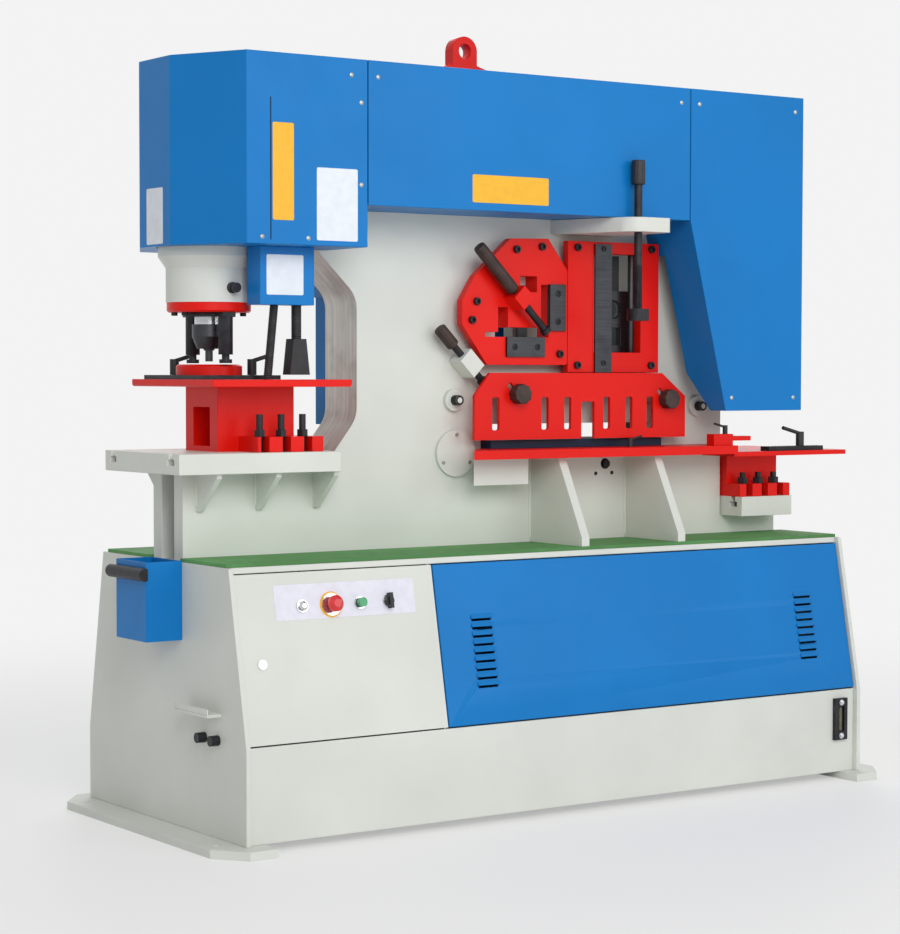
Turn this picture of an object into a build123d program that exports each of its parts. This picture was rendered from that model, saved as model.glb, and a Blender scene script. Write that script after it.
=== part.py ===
from build123d import *
import os
from math import atan2, cos, radians, sin, tan

os.makedirs("parts", exist_ok=True)

# Ironworker machine, sizes in millimetres.
# X runs along the machine to the right, Y away from the operator's side, Z up.
# The origin lies on the floor, in the middle of the four anchor bolts.

# Clearances that serve the whole machine
OVERRUN = 5.0
RUNNING_GAP = 0.3
SHEET = 4.0

# Base cabinet
BASE_LENGTH = 1871.0
BASE_HALF_DEPTH = 391.0
BASE_TOP_HALF_DEPTH = 312.0
BASE_TOP_Z = 636.0
FRONT_KNEE_Z = 236.0
BACK_KNEE_Z = 200.0
END_PLATE = 12.0
SKIN_RECESS = 14.0
CABINET_WALL = 6.0
MAT_THICKNESS = 8.0
MAT_MARGIN = 4.0

# Foot rails and their anchor holes
FOOT_THICKNESS = 20.0
FOOT_TUCK = 55.5
FOOT_REACH = 76.5
FOOT_HALF_LENGTH = 438.0
FOOT_CLIP_X = 60.0
FOOT_CLIP_Y = 76.0
ANCHOR_REACH = 39.5
ANCHOR_INSET = 108.0
ANCHOR_RADIUS = 9.0

# Door and louvred panel in the sloping front
PAN_DEPTH = 18.0
PAN_SHEET = 3.0
PAN_PROUD = 5.0
PAN_GAP = 3.0
DOOR_SPLIT_X = -381.5
HINGE_SIDE_GAP = 4.5
HINGE_INSET = 6.0
HINGE_PIN_RADIUS = 2.5
HINGE_PIN_REACH = 8.0
FRONT_LIP = 14.0
LOUVRE_LENGTH = 62.0
LOUVRE_PITCH = 20.0
LOUVRE_RISE = 6.0
LOUVRE_COUNT = 9
LOUVRE_LEFT_X = -258.0
LOUVRE_RIGHT_X = 776.0
LOUVRE_LOW = 96.0

# Devices on the door
DEVICE_CENTRE_X = -634.0
DEVICE_UP = 312.0
DEVICE_PITCH = 78.0
DEVICE_HOLE_RADIUS = 9.0
DEVICE_STEM_RADIUS = 8.5
DEVICE_STEM_BACK = 22.0
BUTTON_BEZEL_RADIUS = 15.0
BUTTON_BEZEL_HEIGHT = 5.0
BUTTON_RADIUS = 11.0
BUTTON_HEIGHT = 9.0
BUTTON_TRAVEL_GAP = 4.0
STOP_RING_RADIUS = 26.0
STOP_HEAD_RADIUS = 19.0
STOP_HEAD_HEIGHT = 22.0
STOP_GAP = 6.0
SELECTOR_HANDLE_LENGTH = 36.0
SELECTOR_HANDLE_WIDTH = 9.0
SELECTOR_HANDLE_HEIGHT = 14.0
LOCK_X = -869.0
LOCK_UP = 186.0
LOCK_RADIUS = 11.0
LOCK_HEIGHT = 4.0
LOCK_CAM_LENGTH = 30.0
LOCK_CAM_WIDTH = 14.0
LOCK_CAM_THICKNESS = 3.0

# Frame: two thick plates with a gap for the shear beam
FRAME_HALF_WIDTH = 73.0
FRAME_PLATE = 42.0
FRAME_LEFT_X = -922.0
FRAME_RIGHT_X = 910.0
JAW_TOP_Z = 841.0
THROAT_BACK_X = -445.0
THROAT_FLOOR_X = -543.0
THROAT_LOW_Z = 965.0
THROAT_HIGH_Z = 1258.0
THROAT_ROOF_X = -556.0
THROAT_ROOF_Z = 1366.0
THROAT_RADIUS = 70.0
FRAME_TOP_Z = 1755.0
CYLINDER_SEAT_X = 590.0
CYLINDER_SEAT_Z = 1500.0
ARM_RIGHT_X = 800.0
ARM_LOW_Z = 1010.0
NOTCH_BACK_X = 715.0
NOTCH_ARM_TOP_Z = 691.0
THROAT_LINER = 26.0
SPACER_WIDTH = 90.0
SPACER_HEIGHT = 70.0

# Covers over the upper frame
COVER_TOP_Z = 1800.0
COVER_HALF_DEPTH = 262.5
HEAD_LEFT_X = -953.0
HEAD_CHAMFER_X = -857.0
HEAD_NOSE_HALF = 75.5
HEAD_LOW_Z = 1366.0
HEAD_SEAM_X = -534.0
MIDDLE_LOW_Z = 1464.0
RIGHT_SEAM_X = 444.4
RIGHT_END_X = 833.0
RIGHT_LOW_Z = 976.0
RIGHT_LOW_X = 569.0
RIGHT_RETURN_GAP = 60.0
RIGHT_RETURN_TOP_Z = 1380.0
RIGHT_RETURN_CUT_Z = 1075.0
RIGHT_RETURN_CUT_GAP = 132.0
COVER_SEAM = 2.0
REAR_COVER_DEPTH = 45.0
REAR_COVER_LOW_Z = 946.0
REAR_COVER_RIGHT_X = 430.0

# Lifting lug
LUG_X = -88.0
LUG_HALF_WIDTH = 98.0
LUG_SHOULDER_Z = 1846.0
LUG_EYE_Z = 1880.0
LUG_EYE_RADIUS = 37.0
LUG_HOLE_RADIUS = 18.0
LUG_HALF_THICKNESS = 18.0


# Punch station
PUNCH_X = -811.0
BARREL_RADIUS = 101.0
BARREL_COLLAR_RADIUS = 119.0
BARREL_COLLAR_Z = 1345.0
BARREL_TAPER_Z = 1318.0
BARREL_LOW_Z = 1238.0
BARREL_TOP_Z = 1640.0
BARREL_BORE = 70.0
BARREL_FLOOR = 40.0
FLANGE_RADIUS = 99.0
FLANGE_THICKNESS = 23.0
FLANGE_EDGE = 4.0
ROD_RADIUS = 34.0
PISTON_HEIGHT = 45.0
PISTON_Z = 1420.0
NUT_TOP_Z = 1187.0
NUT_HEIGHT = 57.0
NUT_RADIUS = 40.0
NUT_NECK_SHARE = 0.72
PUNCH_RADIUS = 13.0
PUNCH_TIP_RADIUS = 9.0
PUNCH_TIP_Z = 1100.0
PUNCH_TIP_LENGTH = 26.0
LEG_OFFSET = 80.0
LEG_RADIUS = 17.0
LEG_LOW_Z = 1116.0
LEG_NECK_RADIUS = 9.0
LEG_PAD_RADIUS = 15.0
LEG_PAD_HEIGHT = 9.0
LEG_PAD_Z = 1096.0
YOKE_THICKNESS = 10.0
YOKE_RADIUS = 62.0
YOKE_HOLE = 45.0

# Punch table, gauge plate and die
TABLE_LEFT_X = -912.0
TABLE_RIGHT_X = -538.0
TABLE_HALF_DEPTH = 200.0
TABLE_TOP_Z = 1058.0
TABLE_THICKNESS = 17.0
TABLE_BEVEL = 4.0
GAUGE_LEFT_X = -905.0
GAUGE_RIGHT_X = -690.0
GAUGE_FRONT_Y = -127.0
GAUGE_BACK_Y = 150.0
GAUGE_THICKNESS = 10.0
GAUGE_TRAVEL = 14.0
HOLDER_RADIUS = 78.0
HOLDER_TOP_Z = 1093.0
DIE_RADIUS = 32.0
DIE_HEIGHT = 28.0
DIE_BORE = 9.6
SLUG_RADIUS = 16.0
LEVER_HUB_RADIUS = 11.0
LEVER_HUB_HEIGHT = 38.0
LEVER_ARM_LENGTH = 62.0
LEVER_ARM_RISE = 16.0
LEVER_ARM_RADIUS = 5.0
LEVER_STEM_RADIUS = 6.0
SMALL_LEVER_SHARE = 0.6
LEVER_HEADING = 10.0
GAUGE_LEVER_LEFT_X = -836.0
GAUGE_LEVER_LEFT_Y = 126.0
GAUGE_LEVER_RIGHT_X = -712.0
GAUGE_LEVER_RIGHT_Y = -30.0

# Die pedestal on the slotted shelf
PEDESTAL_LEFT_X = -832.0
PEDESTAL_RIGHT_X = -625.0
PEDESTAL_HALF_DEPTH = 78.0
PEDESTAL_FOOT_Z = 36.0
PEDESTAL_FOOT_LEFT_X = -778.0
PEDESTAL_FOOT_RIGHT_X = -600.0
PEDESTAL_FOOT_HALF_DEPTH = 172.0
SLUG_DOOR_HEIGHT = 92.0
SLUG_DOOR_HALF_WIDTH = 40.0
SLUG_DOOR_SILL = 12.0
STUD_SLOT_WIDTH = 22.0
STUD_RADIUS = 8.0
STUD_HEIGHT = 88.0
STUD_NUT_RADIUS = 14.0
STUD_NUT_HEIGHT = 16.0
STUD_PITCH = 58.0
STUD_FIRST_X = -758.0
SHELF_LEFT_X = -991.0
SHELF_RIGHT_X = -560.0
SHELF_HALF_DEPTH = 186.0
SHELF_THICKNESS = 48.0
TEE_SLOT_Y = 145.0
TEE_NECK_WIDTH = 18.0
TEE_NECK_DEPTH = 14.0
TEE_HEAD_WIDTH = 32.0
TEE_HEAD_DEPTH = 13.0
TEE_BOLT_HEIGHT = 11.0
TEE_BOLT_WIDTH = 28.0
SHELF_RIB = 14.0
SHELF_RIB_LOW_Z = 751.0
SHELF_RIB_DEPTH = 98.0
SHELF_RIB_TIP = 10.0
SHELF_RIB_FIRST_X = -886.0
SHELF_RIB_PITCH = 158.0
SHELF_RIB_COUNT = 3

# Switch box, lamp and conduit by the punch
SWITCH_LEFT_X = -778.0
SWITCH_RIGHT_X = -632.0
SWITCH_FRONT_Y = -184.0
SWITCH_DEPTH = 62.0
SWITCH_LOW_Z = 1231.0
CONDUIT_RADIUS = 9.0
CONDUIT_INSET = 55.0
LAMP_NECK_RADIUS = 11.0
LAMP_NECK_DROP = 78.0
LAMP_HEAD_LENGTH = 84.0
LAMP_HEAD_WIDTH = 54.0
LAMP_HEAD_DEPTH = 35.0

# Shear beam on its pivot, and the cylinder that drives it
PIVOT_X = -158.0
PIVOT_Z = 874.0
PIVOT_RADIUS = 40.0
PIVOT_RUNNING = 0.05
PIVOT_CAP_RADIUS = 58.0
PIVOT_CAP = 10.0
BEAM_HALF_WIDTH = 25.0
BEAM_BOSS_RADIUS = 92.0
BEAM_LEFT_X = -205.0
BEAM_SHOULDER_Z = 1345.0
BEAM_TOP_Z = 1440.0
BEAM_LOW_Z = 948.0
BEAM_TOE_X = 530.0
BEAM_ARM_LOW_Z = 1290.0
BEAM_ARM_RIGHT_X = 785.0
BEAM_PAD_Z = 1455.0
DRIVE_X = 700.0
DRIVE_BODY_RADIUS = 85.0
DRIVE_TOP_Z = 1765.0
DRIVE_BORE = 60.0
DRIVE_CAP = 26.0
DRIVE_FLANGE_THICKNESS = 25.0
DRIVE_FLANGE_HALF = 100.0
DRIVE_ROD_RADIUS = 24.0
DRIVE_PISTON_HEIGHT = 50.0
DRIVE_PISTON_Z = 1660.0
DRIVE_GAP = 0.8

# Angle shear station
STATION_DEPTH = 50.0
STATION_PLATE = 22.0
STATION_BACKING_INSET = 34.0
ANGLE_LEFT_X = -169.0
ANGLE_LOW_Z = 1094.0
ANGLE_WIDTH = 326.0
ANGLE_HEIGHT = 319.0
ANGLE_OUTLINE_SHARES = ((0.0, 0.31), (0.233, 0.0), (1.0, 0.0), (1.0, 0.753), (0.816, 1.0), (0.45, 0.99),
                        (0.12, 0.694), (0.0, 0.5))
ANGLE_CORNER = 8.0
ANGLE_HEEL_X = 98.0
ANGLE_HEEL_Z = 1164.0
ANGLE_LEG = 132.0
ANGLE_SLOT = 24.0
ANGLE_SIGHT_X = 9.0
ANGLE_SIGHT_Z = 1277.0
ANGLE_SIGHT_WIDTH = 52.0
ANGLE_SIGHT_HEIGHT = 40.0
TEE_GATE_X = -99.0
TEE_GATE_LENGTH = 100.0
TEE_GATE_STEM_X = -59.0
TEE_GATE_STEM_WIDTH = 30.0
TEE_GATE_STEM_TOP = 1238.0
ANGLE_BLADE_WIDTH = 50.0
ANGLE_BLADE_LENGTH = 118.0
ANGLE_BLADE_SET = 16.0
BLADE_THICKNESS = 14.0
BLADE_PROUD = 7.0
BLADE_BOLT_RADIUS = 8.0
BLADE_BOLT_DEPTH = 3.0

# Clamp screws that lean at 45 degrees
SCREW_LEAN = 45.0
ANGLE_SCREW_X = 1.0
ANGLE_SCREW_Z = 1245.0
ANGLE_SCREW_Y = -152.0
ANGLE_SCREW_RADIUS = 9.0
ANGLE_SCREW_BACK = 47.0
ANGLE_SCREW_AHEAD = 86.0
ANGLE_BOSS_LENGTH = 42.0
ANGLE_BOSS_WIDTH = 44.0
ANGLE_BOSS_SET = -22.0
HANDLE_RADIUS = 15.0
HANDLE_LENGTH = 151.0
HANDLE_WAIST_SHARE = 0.8
FLAT_SCREW_X = -140.0
FLAT_SCREW_Z = 1098.0
FLAT_SCREW_Y = -106.0
FLAT_SCREW_RADIUS = 9.0
FLAT_SCREW_BACK = 62.0
FLAT_SCREW_AHEAD = 58.0
FLAT_SLEEVE_LENGTH = 58.0
FLAT_SLEEVE_WIDTH = 44.0
FLAT_HANDLE_LENGTH = 58.0
SCREW_PAD_RADIUS = 13.0
SCREW_PAD_LENGTH = 12.0

# Section shear station
SECTION_LEFT_X = 159.0
SECTION_WIDTH = 298.0
SECTION_LOW_Z = 1075.0
SECTION_HEIGHT = 335.0
SECTION_POST = 60.0
SECTION_LEFT_POST = 84.0
SECTION_SILL = 52.0
SECTION_HEAD = 30.0
SECTION_BAR_WIDTH = 54.0
SECTION_BAR_PROUD = 6.0
SECTION_DIE_HEIGHT = 160.0
SECTION_DIE_THICKNESS = 20.0
SECTION_DIE_SQUARE = 46.0
SECTION_DIE_ROUND = 24.0
SECTION_DIE_LOW = 42.0
SECTION_DIE_HIGH = 112.0
SECTION_ROD_RADIUS = 8.0
SECTION_ROD_INSET = 14.0
BRACKET_LOW_Z = 1427.0
BRACKET_THICKNESS = 36.0
BRACKET_LEFT_X = 140.0
BRACKET_RIGHT_X = 338.0
BRACKET_FRONT_Y = -320.0
BRACKET_SWEEP_X = 215.0
BRACKET_RADIUS = 30.0
SPINDLE_X = 256.0
SPINDLE_Y = -285.0
SPINDLE_RADIUS = 10.0
SPINDLE_FOOT_Z = 1205.0
SPINDLE_FOOT_HEIGHT = 30.0
SPINDLE_FOOT_RADIUS = 28.0
SPINDLE_KNOB_Z = 1546.0
SPINDLE_KNOB_HEIGHT = 60.0
SPINDLE_KNOB_RADIUS = 16.0

# Flat shear station with its sliding guard
GUARD_LEFT_X = -143.0
GUARD_WIDTH = 677.0
GUARD_LOW_Z = 907.0
GUARD_HEIGHT = 167.0
GUARD_THICKNESS = 10.0
GUARD_BACK_Y = -131.0
GUARD_OUTLINE_SHARES = ((0.0, 0.0), (1.0, 0.0), (1.0, 0.64), (0.884, 1.0), (0.068, 1.0), (0.0, 0.66))
GUARD_SLOT_SHARES = (0.095, 0.321, 0.427, 0.613, 0.721, 0.824)
GUARD_SLOT_WIDTH = 22.0
GUARD_SLOT_LOW = 24.0
GUARD_SLOT_HEIGHT = 82.0
GUARD_GATE_X = 190.0
GUARD_GATE_WIDTH = 42.0
GUARD_GATE_HEIGHT = 94.0
GUARD_DOWN = 28.0
GUARD_UP = 12.0
KNOB_LEFT_X = -14.0
KNOB_LEFT_Z = 1021.0
KNOB_RIGHT_X = 468.0
KNOB_RIGHT_Z = 1006.0
KNOB_RADIUS = 23.0
KNOB_LENGTH = 30.0
KNOB_STUD_RADIUS = 5.5
KNOB_SLOT_WIDTH = 14.0
KNOB_POST_RADIUS = 13.0
BED_LEFT_X = -77.0
BED_RIGHT_X = 474.0
BED_HEIGHT = 21.0
BED_DEPTH = 44.0
FLAT_WINDOW_HEIGHT = 40.0
FLAT_BLADE_HEIGHT = 30.0
FLAT_BLADE_THICKNESS = 5.0
GIB_LEFT_X = -164.0
GIB_LEFT_Z = 1006.0
GIB_RIGHT_X = 626.0
GIB_RIGHT_Z = 986.0
GIB_RADIUS = 27.0
GIB_HEIGHT = 12.0
GIB_BOLT_RADIUS = 12.0
GIB_BOLT_LENGTH = 34.0

# Cutting table with its supports
CUT_LEFT_X = -204.0
CUT_RIGHT_X = 645.0
CUT_ROOT_X = -88.0
CUT_FRONT_Y = -226.0
CUT_TOP_Z = 884.0
CUT_THICKNESS = 22.0
BLOCK_LEFT_X = -152.0
BLOCK_RIGHT_X = 16.0
BLOCK_FRONT_Y = -150.0
BLOCK_LOW_Z = 795.0
GUSSET = 24.0
GUSSET_FIRST_X = 77.0
GUSSET_PITCH = 310.0
GUSSET_COUNT = 2
GUSSET_TOP_DEPTH = 118.0
GUSSET_FOOT_DEPTH = 218.0
GUSSET_TOE = 22.0
STOP_LEVER_X = 330.0
STOP_LEVER_Y = -165.0

# Notching station
NOTCH_BASE_LEFT_X = 719.0
NOTCH_BASE_RIGHT_X = 898.0
NOTCH_BASE_HALF_DEPTH = 158.0
NOTCH_BASE_HEIGHT = 52.0
NOTCH_BLOCK_HALF_DEPTH = 96.0
NOTCH_FOOT_HEIGHT = 34.0
NOTCH_FOOT_HALF_DEPTH = 150.0
NOTCH_STUD_Y = 122.0
NOTCH_STUD_PITCH = 55.0
NOTCH_STUD_HEIGHT = 64.0
NOTCH_TABLE_TOP_Z = 866.0
NOTCH_TABLE_THICKNESS = 12.0
NOTCH_TABLE_LEFT_X = 650.0
NOTCH_TABLE_RIGHT_X = 1052.0
NOTCH_TABLE_HALF_DEPTH = 205.0
NOTCH_DIE_LENGTH = 120.0
NOTCH_DIE_HALF_WIDTH = 46.0
NOTCH_DIE_WALL = 22.0
NOTCH_PUNCH_LENGTH = 56.0
NOTCH_PUNCH_HALF_WIDTH = 22.0
NOTCH_PUNCH_LOW_Z = 982.0
NOTCH_PUNCH_TOP_Z = 1060.0
FENCE_LEFT_X = 784.0
FENCE_RIGHT_X = 981.0
FENCE_BACK_Y = -158.0
FENCE_DEPTH = 34.0
FENCE_HEIGHT = 12.0
FENCE_LEVER_X = 911.0
CLAMP_LEFT_X = 577.0
CLAMP_RIGHT_X = 643.0
CLAMP_FRONT_Y = -208.0
CLAMP_DEPTH = 30.0
CLAMP_LEVER_INSET = 15.0
CLAMP_HEIGHT = 30.0
CLAMP_STEM = 20.0
STOP_PLATE_LENGTH = 62.0
STOP_PLATE_THICKNESS = 12.0
STOP_PLATE_LIFT = 12.0

# Tool bin on the left end plate
BIN_HALF_LENGTH = 75.0
BIN_CENTRE_Y = -20.0
BIN_DEPTH = 94.0
BIN_LOW_Z = 456.0
BIN_TOP_Z = 640.0
BIN_SHEET = 3.0
GRIP_RADIUS = 15.0
GRIP_Z = 612.0
GRIP_LENGTH = 172.0
HOOK_Y = -205.0
HOOK_Z = 300.0
HOOK_WIDTH = 150.0
HOOK_DEPTH = 40.0
HOOK_THICKNESS = 6.0
GLAND_Y = -200.0
GLAND_Z = 244.0
GLAND_RADIUS = 12.0
GLAND_LENGTH = 22.0
GLAND_PITCH = 62.0

# Oil gauge on the lower front
GAUGE_GLASS_X = 871.0
GAUGE_GLASS_LOW_Z = 106.0
GAUGE_GLASS_HEIGHT = 110.0
GAUGE_GLASS_WIDTH = 44.0
GAUGE_GLASS_DEPTH = 10.0

# Works inside the cabinet
TANK_LEFT_X = -340.0
TANK_RIGHT_X = 500.0
TANK_HALF_DEPTH = 230.0
TANK_HEIGHT = 250.0
FILLER_X = -260.0
FILLER_Y = -150.0
FILLER_RADIUS = 30.0
MOTOR_X = 30.0
MOTOR_RADIUS = 95.0
MOTOR_LENGTH = 300.0
MOTOR_GAP = 18.0
MOTOR_FOOT_SHARE = 0.6
PUMP_LENGTH = 110.0
PUMP_RADIUS = 52.0
VALVE_X = 380.0
VALVE_LENGTH = 120.0
VALVE_DEPTH = 90.0
VALVE_HEIGHT = 80.0
SOLENOID_RADIUS = 22.0
SOLENOID_LENGTH = 60.0
PANEL_LEFT_X = -880.0
PANEL_RIGHT_X = -420.0
PANEL_HEIGHT = 490.0
PANEL_Y = 120.0
CONTACTOR_WIDTH = 54.0
CONTACTOR_HEIGHT = 84.0
CONTACTOR_DEPTH = 70.0
CONTACTOR_PITCH = 86.0
CONTACTOR_COUNT = 4
CONTACTOR_RISE = 230.0
TERMINAL_HEIGHT = 46.0
TERMINAL_RISE = 70.0

# Places worked out from the sizes above
BASE_END_X = BASE_LENGTH / 2
BASE_INNER_X = BASE_END_X - END_PLATE
FOOT_INNER_X = BASE_END_X - FOOT_TUCK
FOOT_OUTER_X = BASE_END_X + FOOT_REACH
ANCHOR_X = BASE_END_X + ANCHOR_REACH
ANCHOR_Y = FOOT_HALF_LENGTH - ANCHOR_INSET
FRONT_LOW_Y = -(BASE_HALF_DEPTH - SKIN_RECESS)
FRONT_HIGH_Y = -(BASE_TOP_HALF_DEPTH - SKIN_RECESS)
FRONT_SLOPE = atan2(FRONT_HIGH_Y - FRONT_LOW_Y, BASE_TOP_Z - FRONT_KNEE_Z)
FRONT_HEIGHT = (BASE_TOP_Z - FRONT_KNEE_Z) / cos(FRONT_SLOPE)
FRONT_PLANE = Plane(origin=(0, FRONT_LOW_Y, FRONT_KNEE_Z), x_dir=(1, 0, 0),
                    z_dir=(0, -cos(FRONT_SLOPE), sin(FRONT_SLOPE)))
DECK_TOP_Z = BASE_TOP_Z + MAT_THICKNESS
FRAME_GAP_HALF = FRAME_HALF_WIDTH - FRAME_PLATE
FRAME_FRONT_Y = -FRAME_HALF_WIDTH
STATION_FRONT_Y = FRAME_FRONT_Y - STATION_DEPTH
SHELF_TOP_Z = JAW_TOP_Z + SHELF_THICKNESS
TABLE_LOW_Z = TABLE_TOP_Z - TABLE_THICKNESS
FLANGE_LOW_Z = BARREL_LOW_Z - FLANGE_THICKNESS
BED_TOP_Z = CUT_TOP_Z + BED_HEIGHT
SECTION_RIGHT_X = SECTION_LEFT_X + SECTION_WIDTH
SECTION_TOP_Z = SECTION_LOW_Z + SECTION_HEIGHT
OPENING_LEFT_X = SECTION_LEFT_X + SECTION_LEFT_POST + SECTION_BAR_WIDTH
OPENING_RIGHT_X = SECTION_RIGHT_X - SECTION_POST
OPENING_LOW_Z = SECTION_LOW_Z + SECTION_SILL
OPENING_TOP_Z = SECTION_TOP_Z - SECTION_HEAD
NOTCH_BASE_TOP_Z = NOTCH_ARM_TOP_Z + NOTCH_BASE_HEIGHT
NOTCH_TABLE_LOW_Z = NOTCH_TABLE_TOP_Z - NOTCH_TABLE_THICKNESS
FENCE_LEVER_Y = FENCE_BACK_Y - FENCE_DEPTH / 2
CLAMP_X = CLAMP_RIGHT_X - CLAMP_LEVER_INSET
CLAMP_Y = CLAMP_FRONT_Y + CLAMP_DEPTH / 2
CABINET_FLOOR_Z = FOOT_THICKNESS + CABINET_WALL
TANK_TOP_Z = CABINET_FLOOR_Z + TANK_HEIGHT

FRONT_OPENING_LOW = PAN_GAP
FRONT_OPENING_HIGH = FRONT_HEIGHT - FRONT_LIP
PAN_LOW = FRONT_OPENING_LOW + PAN_GAP
PAN_HIGH = FRONT_OPENING_HIGH - PAN_GAP
PAN_END_X = BASE_INNER_X - PAN_GAP
DOOR_RIGHT_X = DOOR_SPLIT_X - HINGE_SIDE_GAP
HINGE_X = DOOR_RIGHT_X - HINGE_INSET
HINGE_BACK = HINGE_INSET + RUNNING_GAP
HINGE_W = PAN_PROUD - HINGE_BACK
DEVICE_FACE_W = PAN_PROUD
LAMP_DEVICE_X = DEVICE_CENTRE_X - 1.5 * DEVICE_PITCH
STOP_DEVICE_X = LAMP_DEVICE_X + DEVICE_PITCH
START_DEVICE_X = STOP_DEVICE_X + DEVICE_PITCH
SELECTOR_DEVICE_X = START_DEVICE_X + DEVICE_PITCH
DIRECTIONS = {"x": (1, 0, 0), "y": (0, 1, 0), "z": (0, 0, 1)}


# Shape helpers

def at(axis, along, across, up):
    """Point with one coordinate along the named axis and two across it, in X, Y, Z order."""
    return {"x": (along, across, up), "y": (across, along, up), "z": (across, up, along)}[axis]


def block(x, y, z):
    """Block between the low and the high value of each pair."""
    spans = [pair[1] - pair[0] for pair in (x, y, z)]
    middle = [(pair[0] + pair[1]) / 2 for pair in (x, y, z)]
    return Pos(*middle) * Box(*spans)


def rod(axis, across, up, start, end, radius):
    """Round bar along the named axis, from start to end."""
    foot = Plane(origin=at(axis, start, across, up), z_dir=DIRECTIONS[axis])
    return foot * Pos(0, 0, (end - start) / 2) * Cylinder(radius, end - start)


def turned(steps):
    """Solid turned about Z from (radius, height) steps, closed on the axis."""
    points = [(0, 0, steps[0][1])]
    points += [(radius, 0, height) for radius, height in steps]
    points += [(0, 0, steps[-1][1])]
    return revolve(make_face(Polyline(*points, close=True)), axis=Axis.Z)


def outline(axis, along, corners):
    """Closed face through corners (a, b), where a third value rounds the corner by that radius."""
    count = len(corners)
    runs = []
    for index, corner in enumerate(corners):
        here = Vector(corner[0], corner[1])
        if len(corner) < 3:
            runs.append([here])
            continue
        before = (Vector(*corners[index - 1][:2]) - here).normalized()
        after = (Vector(*corners[(index + 1) % count][:2]) - here).normalized()
        half = radians(before.get_angle(after)) / 2
        inward = (before + after).normalized() * (corner[2] / sin(half) - corner[2])
        reach = corner[2] / tan(half)
        runs.append([here + before * reach, here + inward, here + after * reach])
    edges = []
    for index, run in enumerate(runs):
        points = [at(axis, along, point.X, point.Y) for point in run]
        if len(points) == 3:
            edges.append(ThreePointArc(*points))
        following = runs[(index + 1) % count][0]
        edges.append(Line(points[-1], at(axis, along, following.X, following.Y)))
    return make_face(edges)


def slab(axis, start, end, corners):
    """Plate with the outline of its corners, from start to end along the named axis."""
    return extrude(outline(axis, start, corners), amount=end - start, dir=DIRECTIONS[axis])


def inset(corners, depth):
    """Corners of a counter-clockwise outline moved inwards by depth."""
    moved = []
    for index, corner in enumerate(corners):
        here = Vector(*corner[:2])
        arriving = (here - Vector(*corners[index - 1][:2])).normalized()
        leaving = (Vector(*corners[(index + 1) % len(corners)][:2]) - here).normalized()
        first = Vector(-arriving.Y, arriving.X)
        second = Vector(-leaving.Y, leaving.X)
        shift = (first + second) * (depth / (1 + first.dot(second)))
        moved.append((here.X + shift.X, here.Y + shift.Y))
    return moved


def shared(left, low, width, height, shares):
    """Corners from shares of a width and a height."""
    return [(left + across * width, low + up * height) for across, up in shares]


def group(*shapes):
    """Several separate solids as one node."""
    return Compound(children=[solid for shape in shapes for solid in shape.solids()])


def front_block(x, up, out):
    """Block on the sloping front: X, height up the slope and distance out of it."""
    return FRONT_PLANE * block(x, up, out)


def front_rod(x, up, start, end, radius):
    """Round bar standing out of the sloping front."""
    return FRONT_PLANE * rod("z", x, up, start, end, radius)


# Base cabinet

def end_profile():
    """Six-sided end plate outline in Y and Z, counter-clockwise."""
    return [(-BASE_HALF_DEPTH, FOOT_THICKNESS), (BASE_HALF_DEPTH, FOOT_THICKNESS),
            (BASE_HALF_DEPTH, BACK_KNEE_Z), (BASE_TOP_HALF_DEPTH, BASE_TOP_Z),
            (-BASE_TOP_HALF_DEPTH, BASE_TOP_Z), (-BASE_HALF_DEPTH, FRONT_KNEE_Z)]


def skin_profile():
    """Cabinet skin outline in Y and Z, set back from the end plates' edges."""
    return [(FRONT_LOW_Y, FOOT_THICKNESS), (-FRONT_LOW_Y, FOOT_THICKNESS), (-FRONT_LOW_Y, BACK_KNEE_Z),
            (-FRONT_HIGH_Y, BASE_TOP_Z), (FRONT_HIGH_Y, BASE_TOP_Z), (FRONT_LOW_Y, FRONT_KNEE_Z)]


def base_cabinet():
    """Welded skin with a deck, an open sloping front and a partition between wiring and hydraulics."""
    skin = skin_profile()
    hollow = inset(skin, CABINET_WALL)
    shell = slab("x", -BASE_INNER_X, BASE_INNER_X, skin)
    shell -= slab("x", -BASE_INNER_X - OVERRUN, BASE_INNER_X + OVERRUN, hollow)
    wall_x = DOOR_SPLIT_X + PAN_SHEET
    shell += slab("x", wall_x, wall_x + CABINET_WALL, inset(skin, CABINET_WALL / 2))
    opening = front_block((-BASE_END_X, BASE_END_X), (FRONT_OPENING_LOW, FRONT_OPENING_HIGH),
                          (PAN_PROUD - PAN_DEPTH, OVERRUN))
    return shell - opening


def end_plate(side):
    """End plate of the base, on the left for side -1 and on the right for side 1."""
    inner, outer = sorted((side * BASE_INNER_X, side * BASE_END_X))
    return slab("x", inner, outer, end_profile())


def foot_rail(side):
    """Bar under one end with clipped outer corners and two anchor holes."""
    corners = [(FOOT_INNER_X, -FOOT_HALF_LENGTH), (FOOT_OUTER_X - FOOT_CLIP_X, -FOOT_HALF_LENGTH),
               (FOOT_OUTER_X, -FOOT_HALF_LENGTH + FOOT_CLIP_Y),
               (FOOT_OUTER_X, FOOT_HALF_LENGTH - FOOT_CLIP_Y),
               (FOOT_OUTER_X - FOOT_CLIP_X, FOOT_HALF_LENGTH), (FOOT_INNER_X, FOOT_HALF_LENGTH)]
    bar = slab("z", 0, FOOT_THICKNESS, [(side * across, along) for across, along in corners])
    for along in (-ANCHOR_Y, ANCHOR_Y):
        bar -= rod("z", side * ANCHOR_X, along, -OVERRUN, FOOT_THICKNESS + OVERRUN, ANCHOR_RADIUS)
    return bar


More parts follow.
